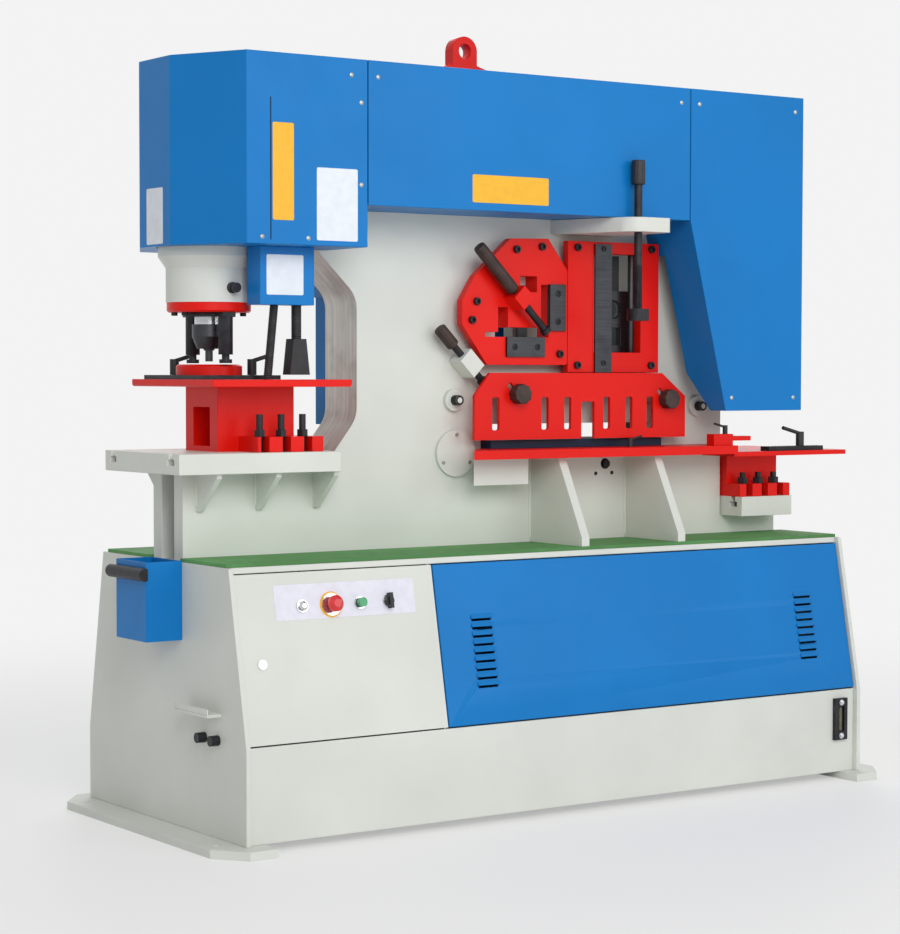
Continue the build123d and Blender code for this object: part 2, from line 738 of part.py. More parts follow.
def deck_mat():
    """Two ribless mat strips on the deck, in front of the frame plates and behind them."""
    ends = (-BASE_END_X + MAT_MARGIN, BASE_END_X - MAT_MARGIN)
    edges = (FRAME_HALF_WIDTH + MAT_MARGIN, -FRONT_HIGH_Y - MAT_MARGIN)
    strips = [block(ends, sorted((side * edges[0], side * edges[1])), (BASE_TOP_Z, DECK_TOP_Z))
              for side in (-1, 1)]
    return group(*strips)


def pan(left, right):
    """Folded sheet pan on the sloping front, open behind."""
    back = PAN_PROUD - PAN_DEPTH
    outer = front_block((left, right), (PAN_LOW, PAN_HIGH), (back, PAN_PROUD))
    return outer - front_block((left + PAN_SHEET, right - PAN_SHEET),
                               (PAN_LOW + PAN_SHEET, PAN_HIGH - PAN_SHEET),
                               (back - OVERRUN, PAN_PROUD - PAN_SHEET))


def electric_door():
    """Door pan with holes for its devices, its lock and its two hinge pins."""
    door = pan(-PAN_END_X, DOOR_RIGHT_X)
    for across in (LAMP_DEVICE_X, STOP_DEVICE_X, START_DEVICE_X, SELECTOR_DEVICE_X):
        door -= front_rod(across, DEVICE_UP, -PAN_DEPTH, PAN_DEPTH, DEVICE_HOLE_RADIUS)
    door -= front_rod(LOCK_X, LOCK_UP, -PAN_DEPTH, PAN_DEPTH, DEVICE_HOLE_RADIUS)
    pin_hole = HINGE_PIN_RADIUS + RUNNING_GAP
    return door - FRONT_PLANE * rod("y", HINGE_X, HINGE_W, PAN_LOW - OVERRUN, PAN_HIGH + OVERRUN, pin_hole)


def hinge_pins():
    """Two pins that carry the door at its top and bottom edges."""
    low = FRONT_PLANE * rod("y", HINGE_X, HINGE_W, FRONT_OPENING_LOW, PAN_LOW + HINGE_PIN_REACH,
                            HINGE_PIN_RADIUS)
    high = FRONT_PLANE * rod("y", HINGE_X, HINGE_W, PAN_HIGH - HINGE_PIN_REACH, FRONT_OPENING_HIGH,
                             HINGE_PIN_RADIUS)
    return group(low, high)


def louvre_panel():
    """Panel pan with two stacks of pressed louvres, each a half round hood over a slit."""
    panel = pan(DOOR_SPLIT_X, PAN_END_X)
    for centre in (LOUVRE_LEFT_X, LOUVRE_RIGHT_X):
        for step in range(LOUVRE_COUNT):
            low = LOUVRE_LOW + step * LOUVRE_PITCH
            span = (centre - LOUVRE_LENGTH / 2, centre + LOUVRE_LENGTH / 2)
            hood = [(low, PAN_PROUD - PAN_SHEET), (low + LOUVRE_RISE * 2, PAN_PROUD - PAN_SHEET),
                    (low + LOUVRE_RISE * 2, PAN_PROUD), (low, PAN_PROUD + LOUVRE_RISE)]
            panel += FRONT_PLANE * slab("x", span[0], span[1], hood)
            panel -= front_block((span[0] + PAN_SHEET, span[1] - PAN_SHEET),
                                 (low - OVERRUN, low + LOUVRE_RISE),
                                 (PAN_PROUD - PAN_SHEET - OVERRUN, PAN_PROUD + LOUVRE_RISE - PAN_SHEET))
    return panel


def door_lock():
    """Quarter-turn lock with its cam hanging behind the door sheet."""
    head = front_rod(LOCK_X, LOCK_UP, PAN_PROUD + RUNNING_GAP, PAN_PROUD + LOCK_HEIGHT, LOCK_RADIUS)
    back = PAN_PROUD - PAN_SHEET - RUNNING_GAP - LOCK_CAM_THICKNESS
    stem = front_rod(LOCK_X, LOCK_UP, back, PAN_PROUD + LOCK_HEIGHT, DEVICE_STEM_RADIUS)
    cam = front_block((LOCK_X - LOCK_CAM_WIDTH / 2, LOCK_X + LOCK_CAM_WIDTH / 2),
                      (LOCK_UP - LOCK_CAM_LENGTH, LOCK_UP + LOCK_CAM_WIDTH / 2), (back,
                                                                                  back + LOCK_CAM_THICKNESS))
    slit = front_block((LOCK_X - LOCK_RADIUS / 2, LOCK_X + LOCK_RADIUS / 2),
                       (LOCK_UP - RUNNING_GAP * 4, LOCK_UP + RUNNING_GAP * 4),
                       (PAN_PROUD + LOCK_HEIGHT / 2, PAN_PROUD + LOCK_HEIGHT + OVERRUN))
    return head + stem + cam - slit


def bezel(across, radius):
    """Ring on the door with a clear hole for its device."""
    ring = front_rod(across, DEVICE_UP, DEVICE_FACE_W, DEVICE_FACE_W + BUTTON_BEZEL_HEIGHT, radius)
    return ring - front_rod(across, DEVICE_UP, DEVICE_FACE_W - OVERRUN,
                            DEVICE_FACE_W + BUTTON_BEZEL_HEIGHT + OVERRUN,
                            DEVICE_HOLE_RADIUS)


def button_bezels():
    """Bezels of all four devices, with the pilot lamp's lens."""
    small = [bezel(across, BUTTON_BEZEL_RADIUS) for across in (START_DEVICE_X, SELECTOR_DEVICE_X)]
    lamp = bezel(LAMP_DEVICE_X, BUTTON_BEZEL_RADIUS) + pilot_lamp()
    return group(lamp, bezel(STOP_DEVICE_X, STOP_RING_RADIUS), *small)


def device(across, gap, head):
    """Switch head above its bezel, on a stem that passes through the door."""
    top = DEVICE_FACE_W + BUTTON_BEZEL_HEIGHT + gap
    stem = front_rod(across, DEVICE_UP, DEVICE_FACE_W - DEVICE_STEM_BACK, top, DEVICE_STEM_RADIUS)
    return stem + FRONT_PLANE * Pos(across, DEVICE_UP, top) * head


def pilot_lamp():
    """Domed lamp lens seated on its bezel."""
    return device(LAMP_DEVICE_X, 0, turned([(BUTTON_RADIUS, 0), (BUTTON_RADIUS, BUTTON_HEIGHT / 2),
                                            (BUTTON_RADIUS / 2, BUTTON_HEIGHT)]))


def start_button():
    """Push button that travels towards its bezel."""
    return device(START_DEVICE_X, BUTTON_TRAVEL_GAP, turned([(BUTTON_RADIUS, 0), (BUTTON_RADIUS,
                                                                                  BUTTON_HEIGHT)]))


def stop_button():
    """Mushroom head of the emergency stop."""
    lip = STOP_HEAD_HEIGHT / 3
    return device(STOP_DEVICE_X, STOP_GAP, turned([(BUTTON_RADIUS, 0), (STOP_HEAD_RADIUS, lip),
                                                   (STOP_HEAD_RADIUS, lip * 2), (STOP_HEAD_RADIUS / 2,
                                                                                 STOP_HEAD_HEIGHT)]))


def selector_switch():
    """Selector with a bar handle."""
    half = SELECTOR_HANDLE_WIDTH / 2
    handle = slab("z", 0, SELECTOR_HANDLE_HEIGHT,
                  [(-half, -SELECTOR_HANDLE_LENGTH / 2), (half, -SELECTOR_HANDLE_LENGTH / 2),
                   (half, SELECTOR_HANDLE_LENGTH / 2), (-half, SELECTOR_HANDLE_LENGTH / 2)])
    collar = turned([(BUTTON_RADIUS, 0), (BUTTON_RADIUS, SELECTOR_HANDLE_HEIGHT / 2)])
    return device(SELECTOR_DEVICE_X, RUNNING_GAP, handle + collar)


def oil_gauge():
    """Sight gauge on the lower front: a frame with a clear window."""
    out = FRONT_LOW_Y - GAUGE_GLASS_DEPTH
    frame = block((GAUGE_GLASS_X - GAUGE_GLASS_WIDTH / 2, GAUGE_GLASS_X + GAUGE_GLASS_WIDTH / 2),
                  (out, FRONT_LOW_Y),
                  (GAUGE_GLASS_LOW_Z, GAUGE_GLASS_LOW_Z + GAUGE_GLASS_HEIGHT))
    return frame - block((GAUGE_GLASS_X - GAUGE_GLASS_WIDTH / 4, GAUGE_GLASS_X + GAUGE_GLASS_WIDTH / 4),
                         (out - OVERRUN, FRONT_LOW_Y - GAUGE_GLASS_DEPTH / 2),
                         (GAUGE_GLASS_LOW_Z + GAUGE_GLASS_WIDTH / 2,
                          GAUGE_GLASS_LOW_Z + GAUGE_GLASS_HEIGHT - GAUGE_GLASS_WIDTH / 2))


def tool_bin():
    """Open sheet bin hooked on the left end plate."""
    low_y = BIN_CENTRE_Y - BIN_HALF_LENGTH
    high_y = BIN_CENTRE_Y + BIN_HALF_LENGTH
    out = -BASE_END_X - BIN_DEPTH
    tray = block((out, -BASE_END_X), (low_y, high_y), (BIN_LOW_Z, BIN_TOP_Z))
    return tray - block((out + BIN_SHEET, -BASE_END_X - BIN_SHEET), (low_y + BIN_SHEET, high_y - BIN_SHEET),
                        (BIN_LOW_Z + BIN_SHEET, BIN_TOP_Z + OVERRUN))


def bin_grip():
    """Round grip across the bin's outer face."""
    face = -BASE_END_X - BIN_DEPTH
    start = BIN_CENTRE_Y - GRIP_LENGTH / 2
    grip = rod("y", face - GRIP_RADIUS / 2, GRIP_Z, start, start + GRIP_LENGTH, GRIP_RADIUS)
    return grip - block((face, face + GRIP_RADIUS), (start - OVERRUN, start + GRIP_LENGTH + OVERRUN),
                        (GRIP_Z - GRIP_RADIUS * 2, GRIP_Z + GRIP_RADIUS * 2))


def cable_hook():
    """Bent hook and two glands on the left end plate."""
    out = -BASE_END_X
    shelf = block((out - HOOK_DEPTH, out), (HOOK_Y - HOOK_WIDTH / 2, HOOK_Y + HOOK_WIDTH / 2),
                  (HOOK_Z, HOOK_Z + HOOK_THICKNESS))
    lip = block((out - HOOK_DEPTH, out - HOOK_DEPTH + HOOK_THICKNESS),
                (HOOK_Y - HOOK_WIDTH / 2, HOOK_Y + HOOK_WIDTH / 2), (HOOK_Z, HOOK_Z + HOOK_THICKNESS * 3))
    glands = [rod("x", GLAND_Y - step * GLAND_PITCH, GLAND_Z, out - GLAND_LENGTH, out, GLAND_RADIUS)
              for step in range(2)]
    return group(shelf + lip, *glands)




# Frame and covers

def frame_plate(side):
    """One frame plate: a throat for the punch, an arm for the notcher and windows for the stock."""
    inner, outer = sorted((side * FRAME_GAP_HALF, side * FRAME_HALF_WIDTH))
    corners = [(FRAME_LEFT_X, BASE_TOP_Z), (FRAME_RIGHT_X, BASE_TOP_Z), (FRAME_RIGHT_X, NOTCH_ARM_TOP_Z),
               (NOTCH_BACK_X, NOTCH_ARM_TOP_Z), (NOTCH_BACK_X, ARM_LOW_Z), (ARM_RIGHT_X, ARM_LOW_Z),
               (ARM_RIGHT_X, CYLINDER_SEAT_Z), (CYLINDER_SEAT_X, CYLINDER_SEAT_Z), (CYLINDER_SEAT_X,
                                                                                    FRAME_TOP_Z),
               (PUNCH_X, FRAME_TOP_Z), (PUNCH_X, THROAT_ROOF_Z), (THROAT_ROOF_X, THROAT_ROOF_Z),
               (THROAT_BACK_X, THROAT_HIGH_Z, THROAT_RADIUS), (THROAT_BACK_X, THROAT_LOW_Z, THROAT_RADIUS),
               (THROAT_FLOOR_X, JAW_TOP_Z), (FRAME_LEFT_X, JAW_TOP_Z)]
    plate = slab("y", inner, outer, corners)
    plate -= rod("z", PUNCH_X, 0, THROAT_ROOF_Z - OVERRUN, FRAME_TOP_Z + OVERRUN,
                 BARREL_COLLAR_RADIUS + RUNNING_GAP)
    span = (inner - OVERRUN, outer + OVERRUN)
    plate -= rod("y", PIVOT_X, PIVOT_Z, span[0], span[1], PIVOT_RADIUS + PIVOT_RUNNING)
    for window in stock_windows():
        plate -= block(window[0], span, window[1])
    if side < 0:
        plate -= block((BED_LEFT_X, BED_RIGHT_X), span, (BED_TOP_Z - FLAT_BLADE_HEIGHT, BED_TOP_Z + OVERRUN))
    return plate


def stock_windows():
    """X and Z spans of the angle, section and flat stock windows."""
    angle = ((ANGLE_HEEL_X - ANGLE_LEG, ANGLE_HEEL_X), (ANGLE_HEEL_Z, ANGLE_HEEL_Z + ANGLE_LEG))
    section = ((OPENING_LEFT_X, OPENING_RIGHT_X), (OPENING_LOW_Z, OPENING_TOP_Z))
    flat = ((BED_LEFT_X, BED_RIGHT_X), (BED_TOP_Z, BED_TOP_Z + FLAT_WINDOW_HEIGHT))
    return (angle, section, flat)


def frame_spacers():
    """Blocks that hold the two frame plates apart."""
    low = BASE_TOP_Z + MAT_THICKNESS
    places = ((PIVOT_X - PIVOT_CAP_RADIUS * 2, low), (BED_RIGHT_X, low), (LUG_X, FRAME_TOP_Z - SPACER_HEIGHT),
              (THROAT_BACK_X + SPACER_WIDTH, THROAT_HIGH_Z))
    return group(*[block((across - SPACER_WIDTH / 2, across + SPACER_WIDTH / 2),
                         (-FRAME_GAP_HALF, FRAME_GAP_HALF),
                         (up, up + SPACER_HEIGHT)) for across, up in places])


def throat_liner():
    """Strip between the frame plates that closes the throat's edge from the jaw to its roof."""
    inner = [(THROAT_FLOOR_X, JAW_TOP_Z), (THROAT_BACK_X, THROAT_LOW_Z, THROAT_RADIUS),
             (THROAT_BACK_X, THROAT_HIGH_Z, THROAT_RADIUS), (THROAT_ROOF_X, THROAT_ROOF_Z)]
    outer = [(corner[0] + THROAT_LINER, *corner[1:]) for corner in inner]
    return slab("y", -FRAME_GAP_HALF, FRAME_GAP_HALF, outer + inner[::-1])


def head_cover():
    """Sheet nose over the punch cylinder, with chamfered corners and a cut bottom."""
    depth = COVER_HALF_DEPTH
    plan = [(HEAD_SEAM_X, -depth), (HEAD_SEAM_X, depth), (HEAD_CHAMFER_X, depth),
            (HEAD_LEFT_X, HEAD_NOSE_HALF),
            (HEAD_LEFT_X, -HEAD_NOSE_HALF), (HEAD_CHAMFER_X, -depth)]
    inner_low = HEAD_LOW_Z + SHEET
    inner_top = COVER_TOP_Z - SHEET
    cover = slab("z", HEAD_LOW_Z, COVER_TOP_Z, plan) - slab("z", inner_low, inner_top, inset(plan, SHEET))
    cover -= block((HEAD_SEAM_X - SHEET - OVERRUN, HEAD_SEAM_X + OVERRUN), (-depth + SHEET, depth - SHEET),
                   (inner_low, inner_top))
    cover -= rod("z", PUNCH_X, 0, HEAD_LOW_Z - OVERRUN, inner_low + OVERRUN, BARREL_COLLAR_RADIUS + SHEET)
    reach = FRAME_HALF_WIDTH
    return cover - block((PUNCH_X, HEAD_SEAM_X + OVERRUN), (-reach, reach),
                         (HEAD_LOW_Z - OVERRUN, inner_low + OVERRUN))


def middle_cover():
    """Sheet cover along the frame's top, with a slot for the lifting lug."""
    depth = COVER_HALF_DEPTH
    left = HEAD_SEAM_X + COVER_SEAM
    cover = block((left, RIGHT_SEAM_X), (-depth, depth), (MIDDLE_LOW_Z, COVER_TOP_Z))
    cover -= block((left - OVERRUN, RIGHT_SEAM_X + OVERRUN), (-depth + SHEET, depth - SHEET),
                   (MIDDLE_LOW_Z + SHEET, COVER_TOP_Z - SHEET))
    reach = FRAME_HALF_WIDTH
    cover -= block((left - OVERRUN, RIGHT_SEAM_X + OVERRUN), (-reach, reach),
                   (MIDDLE_LOW_Z - OVERRUN, MIDDLE_LOW_Z + SHEET + OVERRUN))
    slot = LUG_HALF_THICKNESS + COVER_SEAM
    return cover - block((LUG_X - LUG_HALF_WIDTH - COVER_SEAM, LUG_X + LUG_HALF_WIDTH + COVER_SEAM),
                         (-slot, slot),
                         (COVER_TOP_Z - SHEET - OVERRUN, COVER_TOP_Z + OVERRUN))


def right_cover():
    """Sheet cover over the drive cylinder and the notching arm, with a sloping inner edge."""
    depth = COVER_HALF_DEPTH
    left = RIGHT_SEAM_X + COVER_SEAM
    side = [(left, MIDDLE_LOW_Z), (RIGHT_LOW_X, RIGHT_LOW_Z), (RIGHT_END_X, RIGHT_LOW_Z),
            (RIGHT_END_X, COVER_TOP_Z),
            (left, COVER_TOP_Z)]
    cover = slab("y", -depth, depth, side) - slab("y", -depth + SHEET, depth - SHEET, inset(side, SHEET))
    cover -= block((left - OVERRUN, left + SHEET + OVERRUN), (-depth + SHEET, depth - SHEET),
                   (MIDDLE_LOW_Z + SHEET, COVER_TOP_Z - SHEET))
    cover -= block((RIGHT_LOW_X + SHEET, RIGHT_END_X - SHEET), (-depth + SHEET, depth - SHEET),
                   (RIGHT_LOW_Z - OVERRUN, RIGHT_LOW_Z + SHEET + OVERRUN))
    reach = FRAME_HALF_WIDTH
    cover -= block((left - OVERRUN, ARM_RIGHT_X), (-reach, reach),
                   (RIGHT_LOW_Z - OVERRUN, MIDDLE_LOW_Z + SHEET * 2))
    clear = reach + RIGHT_RETURN_GAP
    low = RIGHT_LOW_Z - OVERRUN
    cut = [(clear, RIGHT_RETURN_TOP_Z), (-clear, RIGHT_RETURN_TOP_Z), (-clear, RIGHT_RETURN_CUT_Z),
           (-reach - RIGHT_RETURN_CUT_GAP, low), (reach + RIGHT_RETURN_CUT_GAP, low), (clear,
                                                                                       RIGHT_RETURN_CUT_Z)]
    return cover - slab("x", left - OVERRUN, RIGHT_LOW_X + SHEET * 2, cut)


def rear_cover():
    """Shallow pan over the rear frame plate that follows the throat, open where stock comes through."""
    left = HEAD_SEAM_X + COVER_SEAM
    fall = (THROAT_ROOF_Z - THROAT_HIGH_Z) / (THROAT_BACK_X - THROAT_ROOF_X)
    corners = [(THROAT_BACK_X, REAR_COVER_LOW_Z), (REAR_COVER_RIGHT_X, REAR_COVER_LOW_Z),
               (REAR_COVER_RIGHT_X, MIDDLE_LOW_Z - COVER_SEAM), (left, MIDDLE_LOW_Z - COVER_SEAM),
               (left, THROAT_ROOF_Z - (left - THROAT_ROOF_X) * fall), (THROAT_BACK_X, THROAT_HIGH_Z)]
    low = FRAME_HALF_WIDTH
    cover = slab("y", low, low + REAR_COVER_DEPTH, corners)
    cover -= slab("y", low - OVERRUN, low + REAR_COVER_DEPTH - SHEET, inset(corners, SHEET))
    for window in stock_windows()[:2]:
        cover -= block(window[0], (low, low + REAR_COVER_DEPTH + OVERRUN), window[1])
    return cover


def lifting_lug():
    """Eye plate that stands on the frame and comes out through the cover."""
    foot = [(LUG_X - LUG_HALF_WIDTH, FRAME_TOP_Z), (LUG_X + LUG_HALF_WIDTH, FRAME_TOP_Z),
            (LUG_X + LUG_HALF_WIDTH, LUG_SHOULDER_Z - LUG_HALF_THICKNESS), (LUG_X + LUG_EYE_RADIUS,
                                                                            LUG_SHOULDER_Z),
            (LUG_X - LUG_EYE_RADIUS, LUG_SHOULDER_Z), (LUG_X - LUG_HALF_WIDTH,
                                                       LUG_SHOULDER_Z - LUG_HALF_THICKNESS)]
    plate = slab("y", -LUG_HALF_THICKNESS, LUG_HALF_THICKNESS, foot)
    plate += block((LUG_X - LUG_EYE_RADIUS, LUG_X + LUG_EYE_RADIUS),
                   (-LUG_HALF_THICKNESS, LUG_HALF_THICKNESS),
                   (LUG_SHOULDER_Z - OVERRUN, LUG_EYE_Z))
    plate += rod("y", LUG_X, LUG_EYE_Z, -LUG_HALF_THICKNESS, LUG_HALF_THICKNESS, LUG_EYE_RADIUS)
    return plate - rod("y", LUG_X, LUG_EYE_Z, -LUG_HALF_THICKNESS - OVERRUN, LUG_HALF_THICKNESS + OVERRUN,
                       LUG_HOLE_RADIUS)


# Punch station

def punch_cylinder():
    """Cylinder barrel with a tapered collar and a bore open at the bottom."""
    steps = [(BARREL_RADIUS, BARREL_LOW_Z), (BARREL_RADIUS, BARREL_TAPER_Z),
             (BARREL_COLLAR_RADIUS, BARREL_COLLAR_Z),
             (BARREL_COLLAR_RADIUS, BARREL_TOP_Z)]
    barrel = Pos(PUNCH_X, 0, 0) * turned(steps)
    return barrel - rod("z", PUNCH_X, 0, BARREL_LOW_Z - OVERRUN, BARREL_TOP_Z - BARREL_FLOOR, BARREL_BORE)


def cylinder_flange():
    """Round flange that closes the barrel and guides the rod."""
    steps = [(FLANGE_RADIUS - FLANGE_EDGE, FLANGE_LOW_Z), (FLANGE_RADIUS, FLANGE_LOW_Z + FLANGE_EDGE),
             (FLANGE_RADIUS, BARREL_LOW_Z)]
    flange = Pos(PUNCH_X, 0, 0) * turned(steps)
    return flange - rod("z", PUNCH_X, 0, FLANGE_LOW_Z - OVERRUN, BARREL_LOW_Z + OVERRUN,
                        ROD_RADIUS + RUNNING_GAP)


def punch_rod():
    """Piston and rod of the punch."""
    head = BARREL_BORE - RUNNING_GAP
    return Pos(PUNCH_X, 0, 0) * turned([(ROD_RADIUS, NUT_TOP_Z), (ROD_RADIUS, PISTON_Z), (head, PISTON_Z),
                                        (head, PISTON_Z + PISTON_HEIGHT)])


def coupling_nut():
    """Tapered nut that holds the punch to the rod."""
    low = NUT_TOP_Z - NUT_HEIGHT
    neck = NUT_RADIUS * NUT_NECK_SHARE
    return Pos(PUNCH_X, 0, 0) * turned([(neck, low), (NUT_RADIUS, NUT_TOP_Z - NUT_HEIGHT / 2),
                                        (NUT_RADIUS, NUT_TOP_Z)])


def punch_tool():
    """Round punch below the nut."""
    low = NUT_TOP_Z - NUT_HEIGHT
    shoulder = PUNCH_TIP_Z + PUNCH_TIP_LENGTH
    return Pos(PUNCH_X, 0, 0) * turned([(PUNCH_TIP_RADIUS, PUNCH_TIP_Z), (PUNCH_TIP_RADIUS, shoulder),
                                        (PUNCH_RADIUS, shoulder), (PUNCH_RADIUS, low)])


def stripper_fork():
    """Two stripper legs under a yoke that hangs from the flange."""
    yoke_low = FLANGE_LOW_Z - YOKE_THICKNESS
    reach = LEG_OFFSET + LEG_RADIUS
    fork = block((PUNCH_X - LEG_RADIUS, PUNCH_X + LEG_RADIUS), (-reach, reach), (yoke_low, FLANGE_LOW_Z))
    fork += rod("z", PUNCH_X, 0, yoke_low, FLANGE_LOW_Z, YOKE_RADIUS)
    fork -= rod("z", PUNCH_X, 0, yoke_low - OVERRUN, FLANGE_LOW_Z + OVERRUN, YOKE_HOLE)
    pad_top = LEG_PAD_Z + LEG_PAD_HEIGHT
    leg = turned([(LEG_PAD_RADIUS, LEG_PAD_Z), (LEG_PAD_RADIUS, pad_top), (LEG_NECK_RADIUS, pad_top),
                  (LEG_NECK_RADIUS, LEG_LOW_Z), (LEG_RADIUS, LEG_LOW_Z), (LEG_RADIUS, FLANGE_LOW_Z)])
    for along in (-LEG_OFFSET, LEG_OFFSET):
        fork += Pos(PUNCH_X, along, 0) * leg
    return fork


def punch_table():
    """Table plate round the die holder, with broken edges."""
    low_bevel = TABLE_LOW_Z + TABLE_BEVEL
    corners = [(TABLE_LEFT_X + TABLE_BEVEL, TABLE_LOW_Z), (TABLE_RIGHT_X - TABLE_BEVEL, TABLE_LOW_Z),
               (TABLE_RIGHT_X, low_bevel), (TABLE_RIGHT_X, TABLE_TOP_Z), (TABLE_LEFT_X, TABLE_TOP_Z),
               (TABLE_LEFT_X, low_bevel)]
    plate = slab("y", -TABLE_HALF_DEPTH, TABLE_HALF_DEPTH, corners)
    return plate - rod("z", PUNCH_X, 0, TABLE_LOW_Z - OVERRUN, TABLE_TOP_Z + OVERRUN,
                       HOLDER_RADIUS + RUNNING_GAP)


def gauge_plate():
    """Black gauge plate that slides on the table, with a long hole round the die holder."""
    top = TABLE_TOP_Z + GAUGE_THICKNESS
    plate = block((GAUGE_LEFT_X, GAUGE_RIGHT_X), (GAUGE_FRONT_Y, GAUGE_BACK_Y), (TABLE_TOP_Z, top))
    hole = HOLDER_RADIUS + RUNNING_GAP * 2
    reach = GAUGE_TRAVEL + RUNNING_GAP
    span = (TABLE_TOP_Z - OVERRUN, top + OVERRUN)
    for along in (-reach, reach):
        plate -= rod("z", PUNCH_X, along, span[0], span[1], hole)
    plate -= block((PUNCH_X - hole, PUNCH_X + hole), (-reach, reach), span)
    for across, along in ((GAUGE_LEVER_LEFT_X, GAUGE_LEVER_LEFT_Y),
                          (GAUGE_LEVER_RIGHT_X, GAUGE_LEVER_RIGHT_Y)):
        plate -= rod("z", across, along, span[0], span[1], LEVER_STEM_RADIUS + RUNNING_GAP)
    return plate


def lever(across, along, seat, depth, heading, share=1):
    """Ratchet lever: a hub on a stem let into its seat, with a rising arm; share scales hub and arm."""
    top = seat + LEVER_HUB_HEIGHT * share
    hub = rod("z", across, along, seat + RUNNING_GAP, top, LEVER_HUB_RADIUS * share)
    stem = rod("z", across, along, seat - depth + RUNNING_GAP, top, LEVER_STEM_RADIUS * share)
    reach = LEVER_ARM_LENGTH * share
    rise = Vector(reach * cos(radians(heading)), reach * sin(radians(heading)), LEVER_ARM_RISE * share)
    root = Vector(across, along, top - LEVER_ARM_RADIUS)
    arm = Plane(origin=root, z_dir=rise) * Pos(0, 0, rise.length / 2) * Cylinder(LEVER_ARM_RADIUS * share,
                                                                                 rise.length)
    return hub + stem + arm


def die_holder():
    """Round holder with a seat for the die and a way out for slugs."""
    steps = [(HOLDER_RADIUS, TABLE_LOW_Z), (HOLDER_RADIUS, HOLDER_TOP_Z - FLANGE_EDGE),
             (HOLDER_RADIUS - FLANGE_EDGE, HOLDER_TOP_Z)]
    holder = Pos(PUNCH_X, 0, 0) * turned(steps)
    seat = HOLDER_TOP_Z - DIE_HEIGHT
    holder -= rod("z", PUNCH_X, 0, seat, HOLDER_TOP_Z + OVERRUN, DIE_RADIUS + RUNNING_GAP)
    return holder - rod("z", PUNCH_X, 0, TABLE_LOW_Z - OVERRUN, seat + OVERRUN, SLUG_RADIUS)


def die():
    """Ring die under the punch."""
    ring = rod("z", PUNCH_X, 0, HOLDER_TOP_Z - DIE_HEIGHT, HOLDER_TOP_Z, DIE_RADIUS)
    return ring - rod("z", PUNCH_X, 0, HOLDER_TOP_Z - DIE_HEIGHT - OVERRUN, HOLDER_TOP_Z + OVERRUN, DIE_BORE)


def stud_places():
    """X places of the pedestal's clamp studs."""
    return [STUD_FIRST_X + step * STUD_PITCH for step in range(3)]


def die_pedestal():
    """Cast pedestal with slotted feet, a slug chute and a chute door in its left face."""
    body = block((PEDESTAL_LEFT_X, PEDESTAL_RIGHT_X), (-PEDESTAL_HALF_DEPTH, PEDESTAL_HALF_DEPTH),
                 (SHELF_TOP_Z, TABLE_LOW_Z))
    foot_top = SHELF_TOP_Z + PEDESTAL_FOOT_Z
    body += block((PEDESTAL_FOOT_LEFT_X, PEDESTAL_FOOT_RIGHT_X),
                  (-PEDESTAL_FOOT_HALF_DEPTH, PEDESTAL_FOOT_HALF_DEPTH),
                  (SHELF_TOP_Z, foot_top))
    half = STUD_SLOT_WIDTH / 2
    for across in stud_places():
        for side in (-1, 1):
            mouth = sorted((side * (TEE_SLOT_Y - half), side * (PEDESTAL_FOOT_HALF_DEPTH + OVERRUN)))
            body -= block((across - half, across + half), mouth, (SHELF_TOP_Z - OVERRUN, foot_top + OVERRUN))
    sill = SHELF_TOP_Z + SLUG_DOOR_SILL
    body -= rod("z", PUNCH_X, 0, sill, TABLE_LOW_Z + OVERRUN, SLUG_RADIUS)
    return body - block((PEDESTAL_LEFT_X - OVERRUN, PUNCH_X + SLUG_RADIUS * 2),
                        (-SLUG_DOOR_HALF_WIDTH, SLUG_DOOR_HALF_WIDTH),
                        (sill, sill + SLUG_DOOR_HEIGHT))


def tee_stud(across, along, slot_top, seat, height):
    """Clamp stud with its head in a tee slot and its nut on a slotted foot."""
    head_top = slot_top - TEE_NECK_DEPTH
    half = TEE_BOLT_WIDTH / 2
    stud = block((across - half, across + half), (along - half, along + half),
                 (head_top - TEE_BOLT_HEIGHT, head_top))
    stud += rod("z", across, along, head_top - TEE_BOLT_HEIGHT, slot_top + height, STUD_RADIUS)
    nut = Pos(across, along, seat) * extrude(RegularPolygon(STUD_NUT_RADIUS, 6), STUD_NUT_HEIGHT)
    return stud + nut


def pedestal_studs():
    """Clamp studs in both tee slots of the shelf."""
    return group(*[tee_stud(across, side * TEE_SLOT_Y, SHELF_TOP_Z, SHELF_TOP_Z + PEDESTAL_FOOT_Z,
                            STUD_HEIGHT)
                   for across in stud_places() for side in (-1, 1)])


def tee_slot(x, y, top):
    """Cutter for a tee slot along X."""
    neck = block(x, (y - TEE_NECK_WIDTH / 2, y + TEE_NECK_WIDTH / 2), (top - TEE_NECK_DEPTH, top + OVERRUN))
    low = top - TEE_NECK_DEPTH
    return neck + block(x, (y - TEE_HEAD_WIDTH / 2, y + TEE_HEAD_WIDTH / 2), (low - TEE_HEAD_DEPTH, low))


def slotted_shelf():
    """Thick shelf on the lower jaw with two tee slots."""
    shelf = block((SHELF_LEFT_X, SHELF_RIGHT_X), (-SHELF_HALF_DEPTH, SHELF_HALF_DEPTH),
                  (JAW_TOP_Z, SHELF_TOP_Z))
    for along in (-TEE_SLOT_Y, TEE_SLOT_Y):
        shelf -= tee_slot((SHELF_LEFT_X - OVERRUN, SHELF_RIGHT_X + OVERRUN), along, SHELF_TOP_Z)
    return shelf


